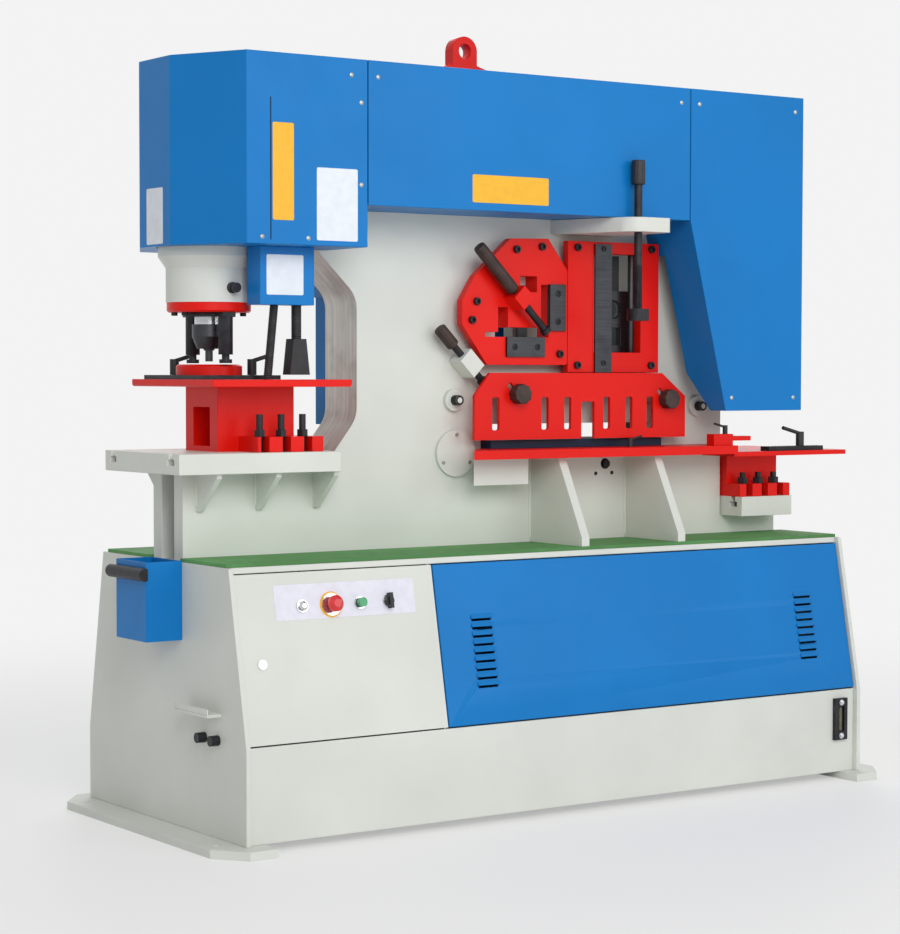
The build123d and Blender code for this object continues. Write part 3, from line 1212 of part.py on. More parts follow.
def shelf_ribs():
    """Triangular ribs under the shelf on both sides of the frame."""
    ribs = []
    for step in range(SHELF_RIB_COUNT):
        across = SHELF_RIB_FIRST_X + step * SHELF_RIB_PITCH
        for side in (-1, 1):
            root = side * FRAME_HALF_WIDTH
            tip = root + side * SHELF_RIB_DEPTH
            corners = [(root, JAW_TOP_Z), (tip, JAW_TOP_Z), (tip, JAW_TOP_Z - SHELF_RIB_TIP),
                       (root + side * SHELF_RIB_TIP, SHELF_RIB_LOW_Z), (root, SHELF_RIB_LOW_Z)]
            ribs.append(slab("x", across, across + SHELF_RIB, corners))
    return group(*ribs)


def switch_box():
    """Sheet box with the limit switches, under the head cover."""
    back = SWITCH_FRONT_Y + SWITCH_DEPTH
    box = block((SWITCH_LEFT_X, SWITCH_RIGHT_X), (SWITCH_FRONT_Y, back), (SWITCH_LOW_Z, HEAD_LOW_Z))
    return box - block((SWITCH_LEFT_X + SHEET, SWITCH_RIGHT_X - SHEET),
                       (SWITCH_FRONT_Y + SHEET, back - SHEET),
                       (SWITCH_LOW_Z + SHEET, HEAD_LOW_Z + OVERRUN))


def lamp_conduit():
    """Stiff conduit from the switch box down to the table, leaning a little."""
    along = SWITCH_FRONT_Y + SWITCH_DEPTH / 2
    top = SWITCH_LEFT_X + CONDUIT_INSET
    foot = top - CONDUIT_RADIUS * 2
    lean = Vector(top - foot, 0, SWITCH_LOW_Z - TABLE_TOP_Z)
    tube = Plane(origin=(foot, along, TABLE_TOP_Z), z_dir=lean) * Cylinder(CONDUIT_RADIUS, lean.length * 3)
    return tube & block((foot - SWITCH_DEPTH, top + SWITCH_DEPTH), (SWITCH_FRONT_Y, along + SWITCH_DEPTH),
                        (TABLE_TOP_Z, SWITCH_LOW_Z))


def work_lamp():
    """Short lamp neck under the switch box with a flared head."""
    along = SWITCH_FRONT_Y + SWITCH_DEPTH / 2
    across = SWITCH_RIGHT_X - SWITCH_DEPTH / 2
    neck_low = SWITCH_LOW_Z - LAMP_NECK_DROP
    lamp = rod("z", across, along, neck_low, SWITCH_LOW_Z, LAMP_NECK_RADIUS)
    top = Plane.XY.offset(neck_low) * Rectangle(LAMP_HEAD_DEPTH, LAMP_HEAD_DEPTH)
    low = Plane.XY.offset(neck_low - LAMP_HEAD_LENGTH) * Rectangle(LAMP_HEAD_WIDTH, LAMP_HEAD_DEPTH)
    head = loft([top.face(), low.face()])
    return lamp + Pos(across, along, 0) * head


# Shear beam and its drive

def shear_beam():
    """Swinging beam between the frame plates, with windows for stock and a tail for the notching punch."""
    tail = BEAM_ARM_RIGHT_X - NOTCH_PUNCH_LENGTH
    corners = [(PIVOT_X, BEAM_LOW_Z), (BEAM_TOE_X, BEAM_LOW_Z), (tail, BEAM_ARM_LOW_Z),
               (tail, NOTCH_PUNCH_TOP_Z),
               (BEAM_ARM_RIGHT_X, NOTCH_PUNCH_TOP_Z), (BEAM_ARM_RIGHT_X, BEAM_PAD_Z),
               (DRIVE_X - DRIVE_FLANGE_HALF, BEAM_PAD_Z), (SECTION_RIGHT_X, BEAM_TOP_Z), (ANGLE_SIGHT_X,
                                                                                          BEAM_TOP_Z),
               (BEAM_LEFT_X, BEAM_SHOULDER_Z), (BEAM_LEFT_X, PIVOT_Z), (PIVOT_X, PIVOT_Z)]
    beam = slab("y", -BEAM_HALF_WIDTH, BEAM_HALF_WIDTH, corners)
    beam += rod("y", PIVOT_X, PIVOT_Z, -BEAM_HALF_WIDTH, BEAM_HALF_WIDTH, BEAM_BOSS_RADIUS)
    span = (-BEAM_HALF_WIDTH - OVERRUN, BEAM_HALF_WIDTH + OVERRUN)
    for across, up in stock_windows()[:2]:
        beam -= block((across[0] - BLADE_PROUD, across[1] + BLADE_PROUD), span,
                      (up[0] - BLADE_PROUD, up[1] + BLADE_PROUD))
    return beam - rod("y", PIVOT_X, PIVOT_Z, span[0], span[1], PIVOT_RADIUS + PIVOT_RUNNING)


def moving_blade():
    """Upper flat blade on the beam's front face."""
    return block((BED_LEFT_X, BED_RIGHT_X), (-BEAM_HALF_WIDTH - FLAT_BLADE_THICKNESS, -BEAM_HALF_WIDTH),
                 (BEAM_LOW_Z, BEAM_LOW_Z + FLAT_BLADE_HEIGHT))


def notch_punch():
    """Notching punch under the beam's tail."""
    return block((BEAM_ARM_RIGHT_X - NOTCH_PUNCH_LENGTH, BEAM_ARM_RIGHT_X),
                 (-NOTCH_PUNCH_HALF_WIDTH, NOTCH_PUNCH_HALF_WIDTH),
                 (NOTCH_PUNCH_LOW_Z, NOTCH_PUNCH_TOP_Z))


def pivot_pin():
    """Pin that the beam swings on, held in both frame plates, with a round front cap."""
    pin = rod("y", PIVOT_X, PIVOT_Z, -FRAME_HALF_WIDTH, FRAME_HALF_WIDTH, PIVOT_RADIUS)
    return pin + rod("y", PIVOT_X, PIVOT_Z, FRAME_FRONT_Y - PIVOT_CAP, FRAME_FRONT_Y, PIVOT_CAP_RADIUS)


def drive_cylinder():
    """Cylinder on the frame's right shoulder that pushes the beam down."""
    flange_top = CYLINDER_SEAT_Z + DRIVE_FLANGE_THICKNESS
    body = block((DRIVE_X - DRIVE_FLANGE_HALF, DRIVE_X + DRIVE_FLANGE_HALF),
                 (-DRIVE_FLANGE_HALF, DRIVE_FLANGE_HALF),
                 (CYLINDER_SEAT_Z, flange_top))
    body += rod("z", DRIVE_X, 0, CYLINDER_SEAT_Z, DRIVE_TOP_Z, DRIVE_BODY_RADIUS)
    body -= rod("z", DRIVE_X, 0, flange_top, DRIVE_TOP_Z - DRIVE_CAP, DRIVE_BORE)
    return body - rod("z", DRIVE_X, 0, CYLINDER_SEAT_Z - OVERRUN, flange_top + OVERRUN,
                      DRIVE_ROD_RADIUS + RUNNING_GAP)


def drive_rod():
    """Piston and rod that bear on the beam's pad."""
    head = DRIVE_BORE - RUNNING_GAP
    return Pos(DRIVE_X, 0, 0) * turned([(DRIVE_ROD_RADIUS, BEAM_PAD_Z + DRIVE_GAP),
                                        (DRIVE_ROD_RADIUS, DRIVE_PISTON_Z),
                                        (head, DRIVE_PISTON_Z), (head, DRIVE_PISTON_Z + DRIVE_PISTON_HEIGHT)])


# Shear stations on the front plate

def leaning_plane(across, along, up):
    """Plane whose Z axis leans down to the right at the screws' angle."""
    lean = radians(SCREW_LEAN)
    return Plane(origin=(across, along, up), x_dir=(0, 1, 0), z_dir=(cos(lean), 0, -sin(lean)))


def blade_spans():
    """X and Z spans of the upright and the level angle blade."""
    upright = ((ANGLE_HEEL_X, ANGLE_HEEL_X + ANGLE_BLADE_WIDTH),
               (ANGLE_HEEL_Z + ANGLE_BLADE_SET, ANGLE_HEEL_Z + ANGLE_BLADE_SET + ANGLE_BLADE_LENGTH))
    level = ((ANGLE_HEEL_X - ANGLE_BLADE_SET - ANGLE_BLADE_LENGTH, ANGLE_HEEL_X - ANGLE_BLADE_SET),
             (ANGLE_HEEL_Z - ANGLE_BLADE_WIDTH, ANGLE_HEEL_Z))
    return (upright, level)


def angle_housing():
    """Housing plate with an angle-shaped gate, a tee gate, a sight hole, blade seats and a screw boss."""
    corners = shared(ANGLE_LEFT_X, ANGLE_LOW_Z, ANGLE_WIDTH, ANGLE_HEIGHT, ANGLE_OUTLINE_SHARES)
    backing_y = STATION_FRONT_Y + STATION_PLATE
    plate = slab("y", STATION_FRONT_Y, backing_y, [(across, up, ANGLE_CORNER) for across, up in corners])
    plate += slab("y", backing_y, FRAME_FRONT_Y, inset(corners, STATION_BACKING_INSET))
    through = (STATION_FRONT_Y - OVERRUN, FRAME_FRONT_Y + OVERRUN)
    heel_top = ANGLE_HEEL_Z + ANGLE_SLOT
    gates = [((ANGLE_HEEL_X - ANGLE_SLOT, ANGLE_HEEL_X), (ANGLE_HEEL_Z, ANGLE_HEEL_Z + ANGLE_LEG)),
             ((ANGLE_HEEL_X - ANGLE_LEG, ANGLE_HEEL_X), (ANGLE_HEEL_Z, heel_top)),
             ((ANGLE_SIGHT_X, ANGLE_SIGHT_X + ANGLE_SIGHT_WIDTH),
              (ANGLE_SIGHT_Z, ANGLE_SIGHT_Z + ANGLE_SIGHT_HEIGHT))]
    for across, up in gates:
        plate -= block(across, through, up)
    recess = (STATION_FRONT_Y - OVERRUN, STATION_FRONT_Y + BLADE_THICKNESS - BLADE_PROUD)
    plate -= block((TEE_GATE_X, TEE_GATE_X + TEE_GATE_LENGTH), through,
                   (ANGLE_HEEL_Z, ANGLE_HEEL_Z + ANGLE_SLOT / 2))
    plate -= block((TEE_GATE_STEM_X, TEE_GATE_STEM_X + TEE_GATE_STEM_WIDTH), through,
                   (ANGLE_HEEL_Z, TEE_GATE_STEM_TOP))
    for across, up in blade_spans():
        plate -= block(across, recess, up)
    axis_plane = leaning_plane(ANGLE_SCREW_X, ANGLE_SCREW_Y, ANGLE_SCREW_Z)
    boss_out = STATION_FRONT_Y - ANGLE_SCREW_Y
    half = ANGLE_BOSS_WIDTH / 2
    plate += axis_plane * block((-half, boss_out), (-half, half),
                                (ANGLE_BOSS_SET - ANGLE_BOSS_LENGTH / 2,
                                 ANGLE_BOSS_SET + ANGLE_BOSS_LENGTH / 2))
    bore = axis_plane * Pos(0, 0, ANGLE_BOSS_SET) * Cylinder(ANGLE_SCREW_RADIUS + RUNNING_GAP,
                                                             ANGLE_BOSS_LENGTH + OVERRUN * 2)
    return plate - bore


def angle_blades():
    """The two fixed angle blades with their bolt seats."""
    blades = []
    out = STATION_FRONT_Y - BLADE_PROUD
    for across, up in blade_spans():
        blade = block(across, (out, out + BLADE_THICKNESS), up)
        along_x = across[1] - across[0] > up[1] - up[0]
        for share in (0.2, 0.8):
            place = (across[0] + (share if along_x else 0.5) * (across[1] - across[0]),
                     up[0] + (0.5 if along_x else share) * (up[1] - up[0]))
            blade -= rod("y", place[0], place[1], out - OVERRUN, out + BLADE_BOLT_DEPTH, BLADE_BOLT_RADIUS)
        blades.append(blade)
    return group(*blades)


def clamp_screw(plane, radius, back, ahead, handle_length):
    """Clamp screw with a round handle behind and a pad ahead, along the plane's Z axis."""
    waist = HANDLE_RADIUS * HANDLE_WAIST_SHARE
    steps = [(waist, -back - handle_length), (HANDLE_RADIUS, -back - handle_length * 0.9),
             (HANDLE_RADIUS, -back - handle_length * 0.3), (waist, -back), (radius, -back), (radius, ahead),
             (SCREW_PAD_RADIUS, ahead), (SCREW_PAD_RADIUS, ahead + SCREW_PAD_LENGTH)]
    return plane * turned(steps)


def angle_clamp():
    """Clamp screw of the angle station."""
    return clamp_screw(leaning_plane(ANGLE_SCREW_X, ANGLE_SCREW_Y, ANGLE_SCREW_Z), ANGLE_SCREW_RADIUS,
                       ANGLE_SCREW_BACK,
                       ANGLE_SCREW_AHEAD, HANDLE_LENGTH)


def clamp_sleeve():
    """Sleeve block on the frame that carries the flat clamp screw."""
    plane = leaning_plane(FLAT_SCREW_X, FLAT_SCREW_Y, FLAT_SCREW_Z)
    half = FLAT_SLEEVE_WIDTH / 2
    sleeve = plane * block((-half, FRAME_FRONT_Y - FLAT_SCREW_Y), (-half, half),
                           (-FLAT_SLEEVE_LENGTH / 2, FLAT_SLEEVE_LENGTH / 2))
    return sleeve - plane * Cylinder(FLAT_SCREW_RADIUS + RUNNING_GAP, FLAT_SLEEVE_LENGTH + OVERRUN * 2)


def flat_clamp():
    """Clamp screw of the flat station."""
    return clamp_screw(leaning_plane(FLAT_SCREW_X, FLAT_SCREW_Y, FLAT_SCREW_Z), FLAT_SCREW_RADIUS,
                       FLAT_SCREW_BACK,
                       FLAT_SCREW_AHEAD, FLAT_HANDLE_LENGTH)


def section_frame():
    """Frame of posts, sill and head round the section opening."""
    backing_y = STATION_FRONT_Y + STATION_PLATE
    frame = block((SECTION_LEFT_X, SECTION_RIGHT_X), (STATION_FRONT_Y, backing_y),
                  (SECTION_LOW_Z, SECTION_TOP_Z))
    frame += block((SECTION_LEFT_X + STATION_BACKING_INSET, SECTION_RIGHT_X), (backing_y, FRAME_FRONT_Y),
                   (SECTION_LOW_Z, SECTION_TOP_Z))
    return frame - block((SECTION_LEFT_X + SECTION_LEFT_POST, OPENING_RIGHT_X),
                         (STATION_FRONT_Y - OVERRUN, FRAME_FRONT_Y + OVERRUN),
                         (OPENING_LOW_Z, OPENING_TOP_Z))


def section_bar():
    """Dark guide bar on the face of the section frame."""
    left = SECTION_LEFT_X + SECTION_LEFT_POST
    return block((left, left + SECTION_BAR_WIDTH), (STATION_FRONT_Y - SECTION_BAR_PROUD, STATION_FRONT_Y),
                 (SECTION_LOW_Z, SECTION_TOP_Z - SECTION_BAR_PROUD))


def section_die():
    """Fixed bar die in the frame window, with a square and a round hole."""
    out = FRAME_FRONT_Y
    die_plate = block((OPENING_LEFT_X, OPENING_RIGHT_X), (out, out + SECTION_DIE_THICKNESS),
                      (OPENING_LOW_Z, OPENING_LOW_Z + SECTION_DIE_HEIGHT))
    middle = (OPENING_LEFT_X + OPENING_RIGHT_X) / 2
    half = SECTION_DIE_SQUARE / 2
    low = OPENING_LOW_Z + SECTION_DIE_LOW
    die_plate -= block((middle - half, middle + half), (out - OVERRUN, out + SECTION_DIE_THICKNESS + OVERRUN),
                       (low - half, low + half))
    return die_plate - rod("y", middle, OPENING_LOW_Z + SECTION_DIE_HIGH, out - OVERRUN,
                           out + SECTION_DIE_THICKNESS + OVERRUN, SECTION_DIE_ROUND)


def section_rod():
    """Bright guide rod beside the right post."""
    return rod("z", OPENING_RIGHT_X - SECTION_ROD_INSET, (STATION_FRONT_Y + FRAME_FRONT_Y) / 2, OPENING_LOW_Z,
               OPENING_TOP_Z, SECTION_ROD_RADIUS)


def top_bracket():
    """Swept bracket out of the frame that carries the section spindle."""
    corners = [(BRACKET_LEFT_X, FRAME_FRONT_Y), (BRACKET_SWEEP_X, BRACKET_FRONT_Y, BRACKET_RADIUS * 2),
               (BRACKET_RIGHT_X, BRACKET_FRONT_Y, BRACKET_RADIUS / 2), (BRACKET_RIGHT_X, FRAME_FRONT_Y)]
    plate = slab("z", BRACKET_LOW_Z, BRACKET_LOW_Z + BRACKET_THICKNESS, corners)
    return plate - rod("z", SPINDLE_X, SPINDLE_Y, BRACKET_LOW_Z - OVERRUN,
                       BRACKET_LOW_Z + BRACKET_THICKNESS + OVERRUN,
                       SPINDLE_RADIUS + RUNNING_GAP)


def section_clamp():
    """Spindle with a knob above the bracket and a round foot below."""
    foot_top = SPINDLE_FOOT_Z + SPINDLE_FOOT_HEIGHT
    waist = SPINDLE_KNOB_RADIUS * HANDLE_WAIST_SHARE
    steps = [(SPINDLE_FOOT_RADIUS, SPINDLE_FOOT_Z), (SPINDLE_FOOT_RADIUS, foot_top),
             (SPINDLE_RADIUS, foot_top),
             (SPINDLE_RADIUS, SPINDLE_KNOB_Z), (waist, SPINDLE_KNOB_Z),
             (SPINDLE_KNOB_RADIUS, SPINDLE_KNOB_Z + SPINDLE_KNOB_HEIGHT / 2),
             (SPINDLE_KNOB_RADIUS, SPINDLE_KNOB_Z + SPINDLE_KNOB_HEIGHT)]
    return Pos(SPINDLE_X, SPINDLE_Y, 0) * turned(steps)


def knob_places():
    """X and Z of the two guard knobs."""
    return ((KNOB_LEFT_X, KNOB_LEFT_Z), (KNOB_RIGHT_X, KNOB_RIGHT_Z))


def flat_guard():
    """Slotted guard plate that slides on two leaning slots."""
    front = GUARD_BACK_Y - GUARD_THICKNESS
    corners = shared(GUARD_LEFT_X, GUARD_LOW_Z, GUARD_WIDTH, GUARD_HEIGHT, GUARD_OUTLINE_SHARES)
    plate = slab("y", front, GUARD_BACK_Y, corners)
    through = (front - OVERRUN, GUARD_BACK_Y + OVERRUN)
    half = GUARD_SLOT_WIDTH / 2
    low = GUARD_LOW_Z + GUARD_SLOT_LOW
    high = low + GUARD_SLOT_HEIGHT
    for share in GUARD_SLOT_SHARES:
        across = GUARD_LEFT_X + share * GUARD_WIDTH
        plate -= slab("y", through[0], through[1], [(across - half, low, half / 2), (across + half, low,
                                                                                     half / 2),
                                                    (across + half, high, half / 2), (across - half, high,
                                                                                      half / 2)])
    plate -= block((GUARD_GATE_X, GUARD_GATE_X + GUARD_GATE_WIDTH), through,
                   (GUARD_LOW_Z - OVERRUN, GUARD_LOW_Z + GUARD_GATE_HEIGHT))
    reach = KNOB_SLOT_WIDTH / 2
    for across, up in knob_places():
        slot_plane = leaning_plane(across, front, up)
        plate -= slot_plane * block((-OVERRUN, GUARD_THICKNESS + OVERRUN), (-reach, reach),
                                    (-GUARD_DOWN - reach, GUARD_UP + reach))
    return plate


def guard_posts():
    """Posts on the frame that carry the guard knobs."""
    return group(*[rod("y", across, up, GUARD_BACK_Y, FRAME_FRONT_Y, KNOB_POST_RADIUS) for across,
                   up in knob_places()])


def guard_knob(place):
    """Knob with a stud through the guard's slot."""
    across, up = place
    seat = GUARD_BACK_Y - GUARD_THICKNESS
    knob = rod("y", across, up, seat - KNOB_LENGTH, seat, KNOB_RADIUS)
    return knob + rod("y", across, up, seat, GUARD_BACK_Y - RUNNING_GAP, KNOB_STUD_RADIUS)


def stock_bed():
    """Bed that flat stock lies on in front of the lower blade."""
    return block((BED_LEFT_X, BED_RIGHT_X), (FRAME_FRONT_Y - BED_DEPTH, FRAME_FRONT_Y),
                 (CUT_TOP_Z, BED_TOP_Z))


def fixed_blade():
    """Lower flat blade in the front frame plate."""
    return block((BED_LEFT_X, BED_RIGHT_X), (FRAME_FRONT_Y, -FRAME_GAP_HALF),
                 (BED_TOP_Z - FLAT_BLADE_HEIGHT, BED_TOP_Z))


def gib_screws():
    """Adjusting screws with washers on both sides of the flat station."""
    screws = []
    for across, up in ((GIB_LEFT_X, GIB_LEFT_Z), (GIB_RIGHT_X, GIB_RIGHT_Z)):
        out = FRAME_FRONT_Y - GIB_HEIGHT
        screws.append(rod("y", across, up, out, FRAME_FRONT_Y, GIB_RADIUS)
                      + rod("y", across, up, FRAME_FRONT_Y - GIB_BOLT_LENGTH, out, GIB_BOLT_RADIUS))
    return group(*screws)


# Cutting table

def cut_table():
    """Long table plate before the flat shear, cut clear of the pivot cap, with a stop lever hole."""
    low = CUT_TOP_Z - CUT_THICKNESS
    plate = slab("z", low, CUT_TOP_Z, [(CUT_LEFT_X, CUT_FRONT_Y), (CUT_RIGHT_X, CUT_FRONT_Y),
                                      (CUT_RIGHT_X, FRAME_FRONT_Y), (CUT_ROOT_X, FRAME_FRONT_Y)])
    hole = LEVER_STEM_RADIUS * SMALL_LEVER_SHARE + RUNNING_GAP
    return plate - rod("z", STOP_LEVER_X, STOP_LEVER_Y, low - OVERRUN, CUT_TOP_Z + OVERRUN, hole)


def table_block():
    """Block that carries the table's left end."""
    corners = [(BLOCK_LEFT_X, BLOCK_FRONT_Y), (BLOCK_RIGHT_X, BLOCK_FRONT_Y), (BLOCK_RIGHT_X, FRAME_FRONT_Y),
               (CUT_ROOT_X, FRAME_FRONT_Y)]
    return slab("z", BLOCK_LOW_Z, CUT_TOP_Z - CUT_THICKNESS, corners)


def table_gussets():
    """Gussets between the deck and the table."""
    top = CUT_TOP_Z - CUT_THICKNESS
    corners = [(FRAME_FRONT_Y, DECK_TOP_Z), (FRAME_FRONT_Y, top), (FRAME_FRONT_Y - GUSSET_TOP_DEPTH, top),
               (FRAME_FRONT_Y - GUSSET_FOOT_DEPTH,
                DECK_TOP_Z + GUSSET_TOE), (FRAME_FRONT_Y - GUSSET_FOOT_DEPTH, DECK_TOP_Z)]
    return group(*[slab("x", GUSSET_FIRST_X + step * GUSSET_PITCH,
                        GUSSET_FIRST_X + step * GUSSET_PITCH + GUSSET, corners)
                   for step in range(GUSSET_COUNT)])


def stop_lever():
    """Small lever let into the table."""
    return lever(STOP_LEVER_X, STOP_LEVER_Y, CUT_TOP_Z, CUT_THICKNESS, 0, SMALL_LEVER_SHARE)


# Notching station

def notch_stud_places():
    """X places of the notching block's clamp studs."""
    middle = (NOTCH_BASE_LEFT_X + NOTCH_BASE_RIGHT_X) / 2
    return [middle + step * NOTCH_STUD_PITCH for step in (-1, 0, 1)]


def notch_base():
    """Thick base on the frame's lower arm with two tee slots."""
    base = block((NOTCH_BASE_LEFT_X, NOTCH_BASE_RIGHT_X), (-NOTCH_BASE_HALF_DEPTH, NOTCH_BASE_HALF_DEPTH),
                 (NOTCH_ARM_TOP_Z, NOTCH_BASE_TOP_Z))
    for along in (-NOTCH_STUD_Y, NOTCH_STUD_Y):
        base -= tee_slot((NOTCH_BASE_LEFT_X - OVERRUN, NOTCH_BASE_RIGHT_X + OVERRUN), along, NOTCH_BASE_TOP_Z)
    return base


def notch_block():
    """Block under the notching die with slotted feet and a way out for slugs."""
    span = (NOTCH_BASE_LEFT_X, NOTCH_BASE_RIGHT_X)
    foot_top = NOTCH_BASE_TOP_Z + NOTCH_FOOT_HEIGHT
    body = block(span, (-NOTCH_BLOCK_HALF_DEPTH, NOTCH_BLOCK_HALF_DEPTH),
                 (NOTCH_BASE_TOP_Z, NOTCH_TABLE_LOW_Z))
    body += block(span, (-NOTCH_FOOT_HALF_DEPTH, NOTCH_FOOT_HALF_DEPTH), (NOTCH_BASE_TOP_Z, foot_top))
    half = STUD_SLOT_WIDTH / 2
    for across in notch_stud_places():
        for side in (-1, 1):
            mouth = sorted((side * (NOTCH_STUD_Y - half), side * (NOTCH_FOOT_HALF_DEPTH + OVERRUN)))
            body -= block((across - half, across + half), mouth,
                          (NOTCH_BASE_TOP_Z - OVERRUN, foot_top + OVERRUN))
    reach = NOTCH_DIE_HALF_WIDTH - NOTCH_DIE_WALL
    chute = (NOTCH_BASE_LEFT_X + NOTCH_DIE_WALL, NOTCH_BASE_LEFT_X + NOTCH_DIE_LENGTH - NOTCH_DIE_WALL)
    body -= block(chute, (-reach, reach), (NOTCH_BASE_TOP_Z - OVERRUN, NOTCH_TABLE_LOW_Z + OVERRUN))
    return body - block((chute[0], NOTCH_BASE_RIGHT_X + OVERRUN), (-reach, reach),
                        (NOTCH_BASE_TOP_Z - OVERRUN, foot_top))


def notch_studs():
    """Clamp studs in both tee slots of the notching base."""
    return group(*[tee_stud(across, side * NOTCH_STUD_Y, NOTCH_BASE_TOP_Z,
                            NOTCH_BASE_TOP_Z + NOTCH_FOOT_HEIGHT,
                            NOTCH_STUD_HEIGHT) for across in notch_stud_places() for side in (-1, 1)])


def notch_table():
    """Table plate round the notching die, cut clear of the frame."""
    level = (NOTCH_TABLE_LOW_Z - OVERRUN, NOTCH_TABLE_TOP_Z + OVERRUN)
    reach = FRAME_HALF_WIDTH + COVER_SEAM
    plate = block((NOTCH_TABLE_LEFT_X, NOTCH_TABLE_RIGHT_X),
                  (-NOTCH_TABLE_HALF_DEPTH, NOTCH_TABLE_HALF_DEPTH),
                  (NOTCH_TABLE_LOW_Z, NOTCH_TABLE_TOP_Z))
    plate -= block((NOTCH_TABLE_LEFT_X - OVERRUN, NOTCH_BASE_LEFT_X), (-reach, reach), level)
    return plate - block((NOTCH_BASE_LEFT_X - OVERRUN, NOTCH_BASE_LEFT_X + NOTCH_DIE_LENGTH),
                         (-NOTCH_DIE_HALF_WIDTH, NOTCH_DIE_HALF_WIDTH), level)


def notch_die():
    """Die ring in the table, open towards the frame."""
    ring = block((NOTCH_BASE_LEFT_X, NOTCH_BASE_LEFT_X + NOTCH_DIE_LENGTH),
                 (-NOTCH_DIE_HALF_WIDTH, NOTCH_DIE_HALF_WIDTH),
                 (NOTCH_TABLE_LOW_Z, NOTCH_TABLE_TOP_Z))
    reach = NOTCH_DIE_HALF_WIDTH - NOTCH_DIE_WALL
    return ring - block((NOTCH_BASE_LEFT_X - OVERRUN, NOTCH_BASE_LEFT_X + NOTCH_DIE_LENGTH - NOTCH_DIE_WALL),
                        (-reach, reach), (NOTCH_TABLE_LOW_Z - OVERRUN, NOTCH_TABLE_TOP_Z + OVERRUN))


def notch_fence():
    """Fence bar that slides on the notching table."""
    bar = block((FENCE_LEFT_X, FENCE_RIGHT_X), (FENCE_BACK_Y - FENCE_DEPTH, FENCE_BACK_Y),
                (NOTCH_TABLE_TOP_Z, NOTCH_TABLE_TOP_Z + FENCE_HEIGHT))
    return bar - rod("z", FENCE_LEVER_X, FENCE_LEVER_Y, NOTCH_TABLE_TOP_Z - OVERRUN,
                     NOTCH_TABLE_TOP_Z + FENCE_HEIGHT + OVERRUN, LEVER_STEM_RADIUS + RUNNING_GAP)


def notch_lever():
    """Ratchet lever on the fence."""
    return lever(FENCE_LEVER_X, FENCE_LEVER_Y, NOTCH_TABLE_TOP_Z + FENCE_HEIGHT, FENCE_HEIGHT, 180)


def clamp_block():
    """Stop block at the right end of the cutting table, with a plate at its side."""
    body = block((CLAMP_LEFT_X, CLAMP_RIGHT_X), (CLAMP_FRONT_Y, CLAMP_FRONT_Y + CLAMP_DEPTH),
                 (CUT_TOP_Z, CUT_TOP_Z + CLAMP_HEIGHT))
    low = CUT_TOP_Z + STOP_PLATE_LIFT
    body += block((CLAMP_RIGHT_X, CLAMP_RIGHT_X + STOP_PLATE_LENGTH),
                  (CLAMP_FRONT_Y, CLAMP_FRONT_Y + CLAMP_DEPTH),
                  (low, low + STOP_PLATE_THICKNESS))
    return body - rod("z", CLAMP_X, CLAMP_Y, CUT_TOP_Z + CLAMP_HEIGHT - CLAMP_STEM,
                      CUT_TOP_Z + CLAMP_HEIGHT + OVERRUN,
                      LEVER_STEM_RADIUS * SMALL_LEVER_SHARE + RUNNING_GAP)


def clamp_lever():
    """Small lever on the stop block."""
    return lever(CLAMP_X, CLAMP_Y, CUT_TOP_Z + CLAMP_HEIGHT, CLAMP_STEM, 180, SMALL_LEVER_SHARE)


# Works inside the cabinet

def oil_tank():
    """Sheet tank on the cabinet floor with a filler hole in its lid."""
    tank = block((TANK_LEFT_X, TANK_RIGHT_X), (-TANK_HALF_DEPTH, TANK_HALF_DEPTH),
                 (CABINET_FLOOR_Z, TANK_TOP_Z))
    tank -= block((TANK_LEFT_X + SHEET, TANK_RIGHT_X - SHEET),
                  (-TANK_HALF_DEPTH + SHEET, TANK_HALF_DEPTH - SHEET),
                  (CABINET_FLOOR_Z + SHEET, TANK_TOP_Z - SHEET))
    return tank - rod("z", FILLER_X, FILLER_Y, TANK_TOP_Z - SHEET - OVERRUN, TANK_TOP_Z + OVERRUN,
                      FILLER_RADIUS)


def power_pack():
    """Motor with its pump, and a valve block with two solenoids, all on the tank."""
    middle = TANK_TOP_Z + MOTOR_GAP + MOTOR_RADIUS
    end = MOTOR_X + MOTOR_LENGTH / 2
    half = MOTOR_RADIUS * MOTOR_FOOT_SHARE
    motor = rod("x", 0, middle, MOTOR_X - MOTOR_LENGTH / 2, end, MOTOR_RADIUS)
    motor += block((MOTOR_X - half, MOTOR_X + half), (-half, half), (TANK_TOP_Z, middle))
    motor += rod("x", 0, middle, end, end + PUMP_LENGTH, PUMP_RADIUS)
    valve = block((VALVE_X - VALVE_LENGTH / 2, VALVE_X + VALVE_LENGTH / 2),
                  (-VALVE_DEPTH / 2, VALVE_DEPTH / 2),
                  (TANK_TOP_Z, TANK_TOP_Z + VALVE_HEIGHT))
    for side in (-1, 1):
        start, stop = sorted((side * VALVE_DEPTH / 2, side * (VALVE_DEPTH / 2 + SOLENOID_LENGTH)))
        valve += rod("y", VALVE_X, TANK_TOP_Z + VALVE_HEIGHT / 2, start, stop, SOLENOID_RADIUS)
    return group(motor, valve)


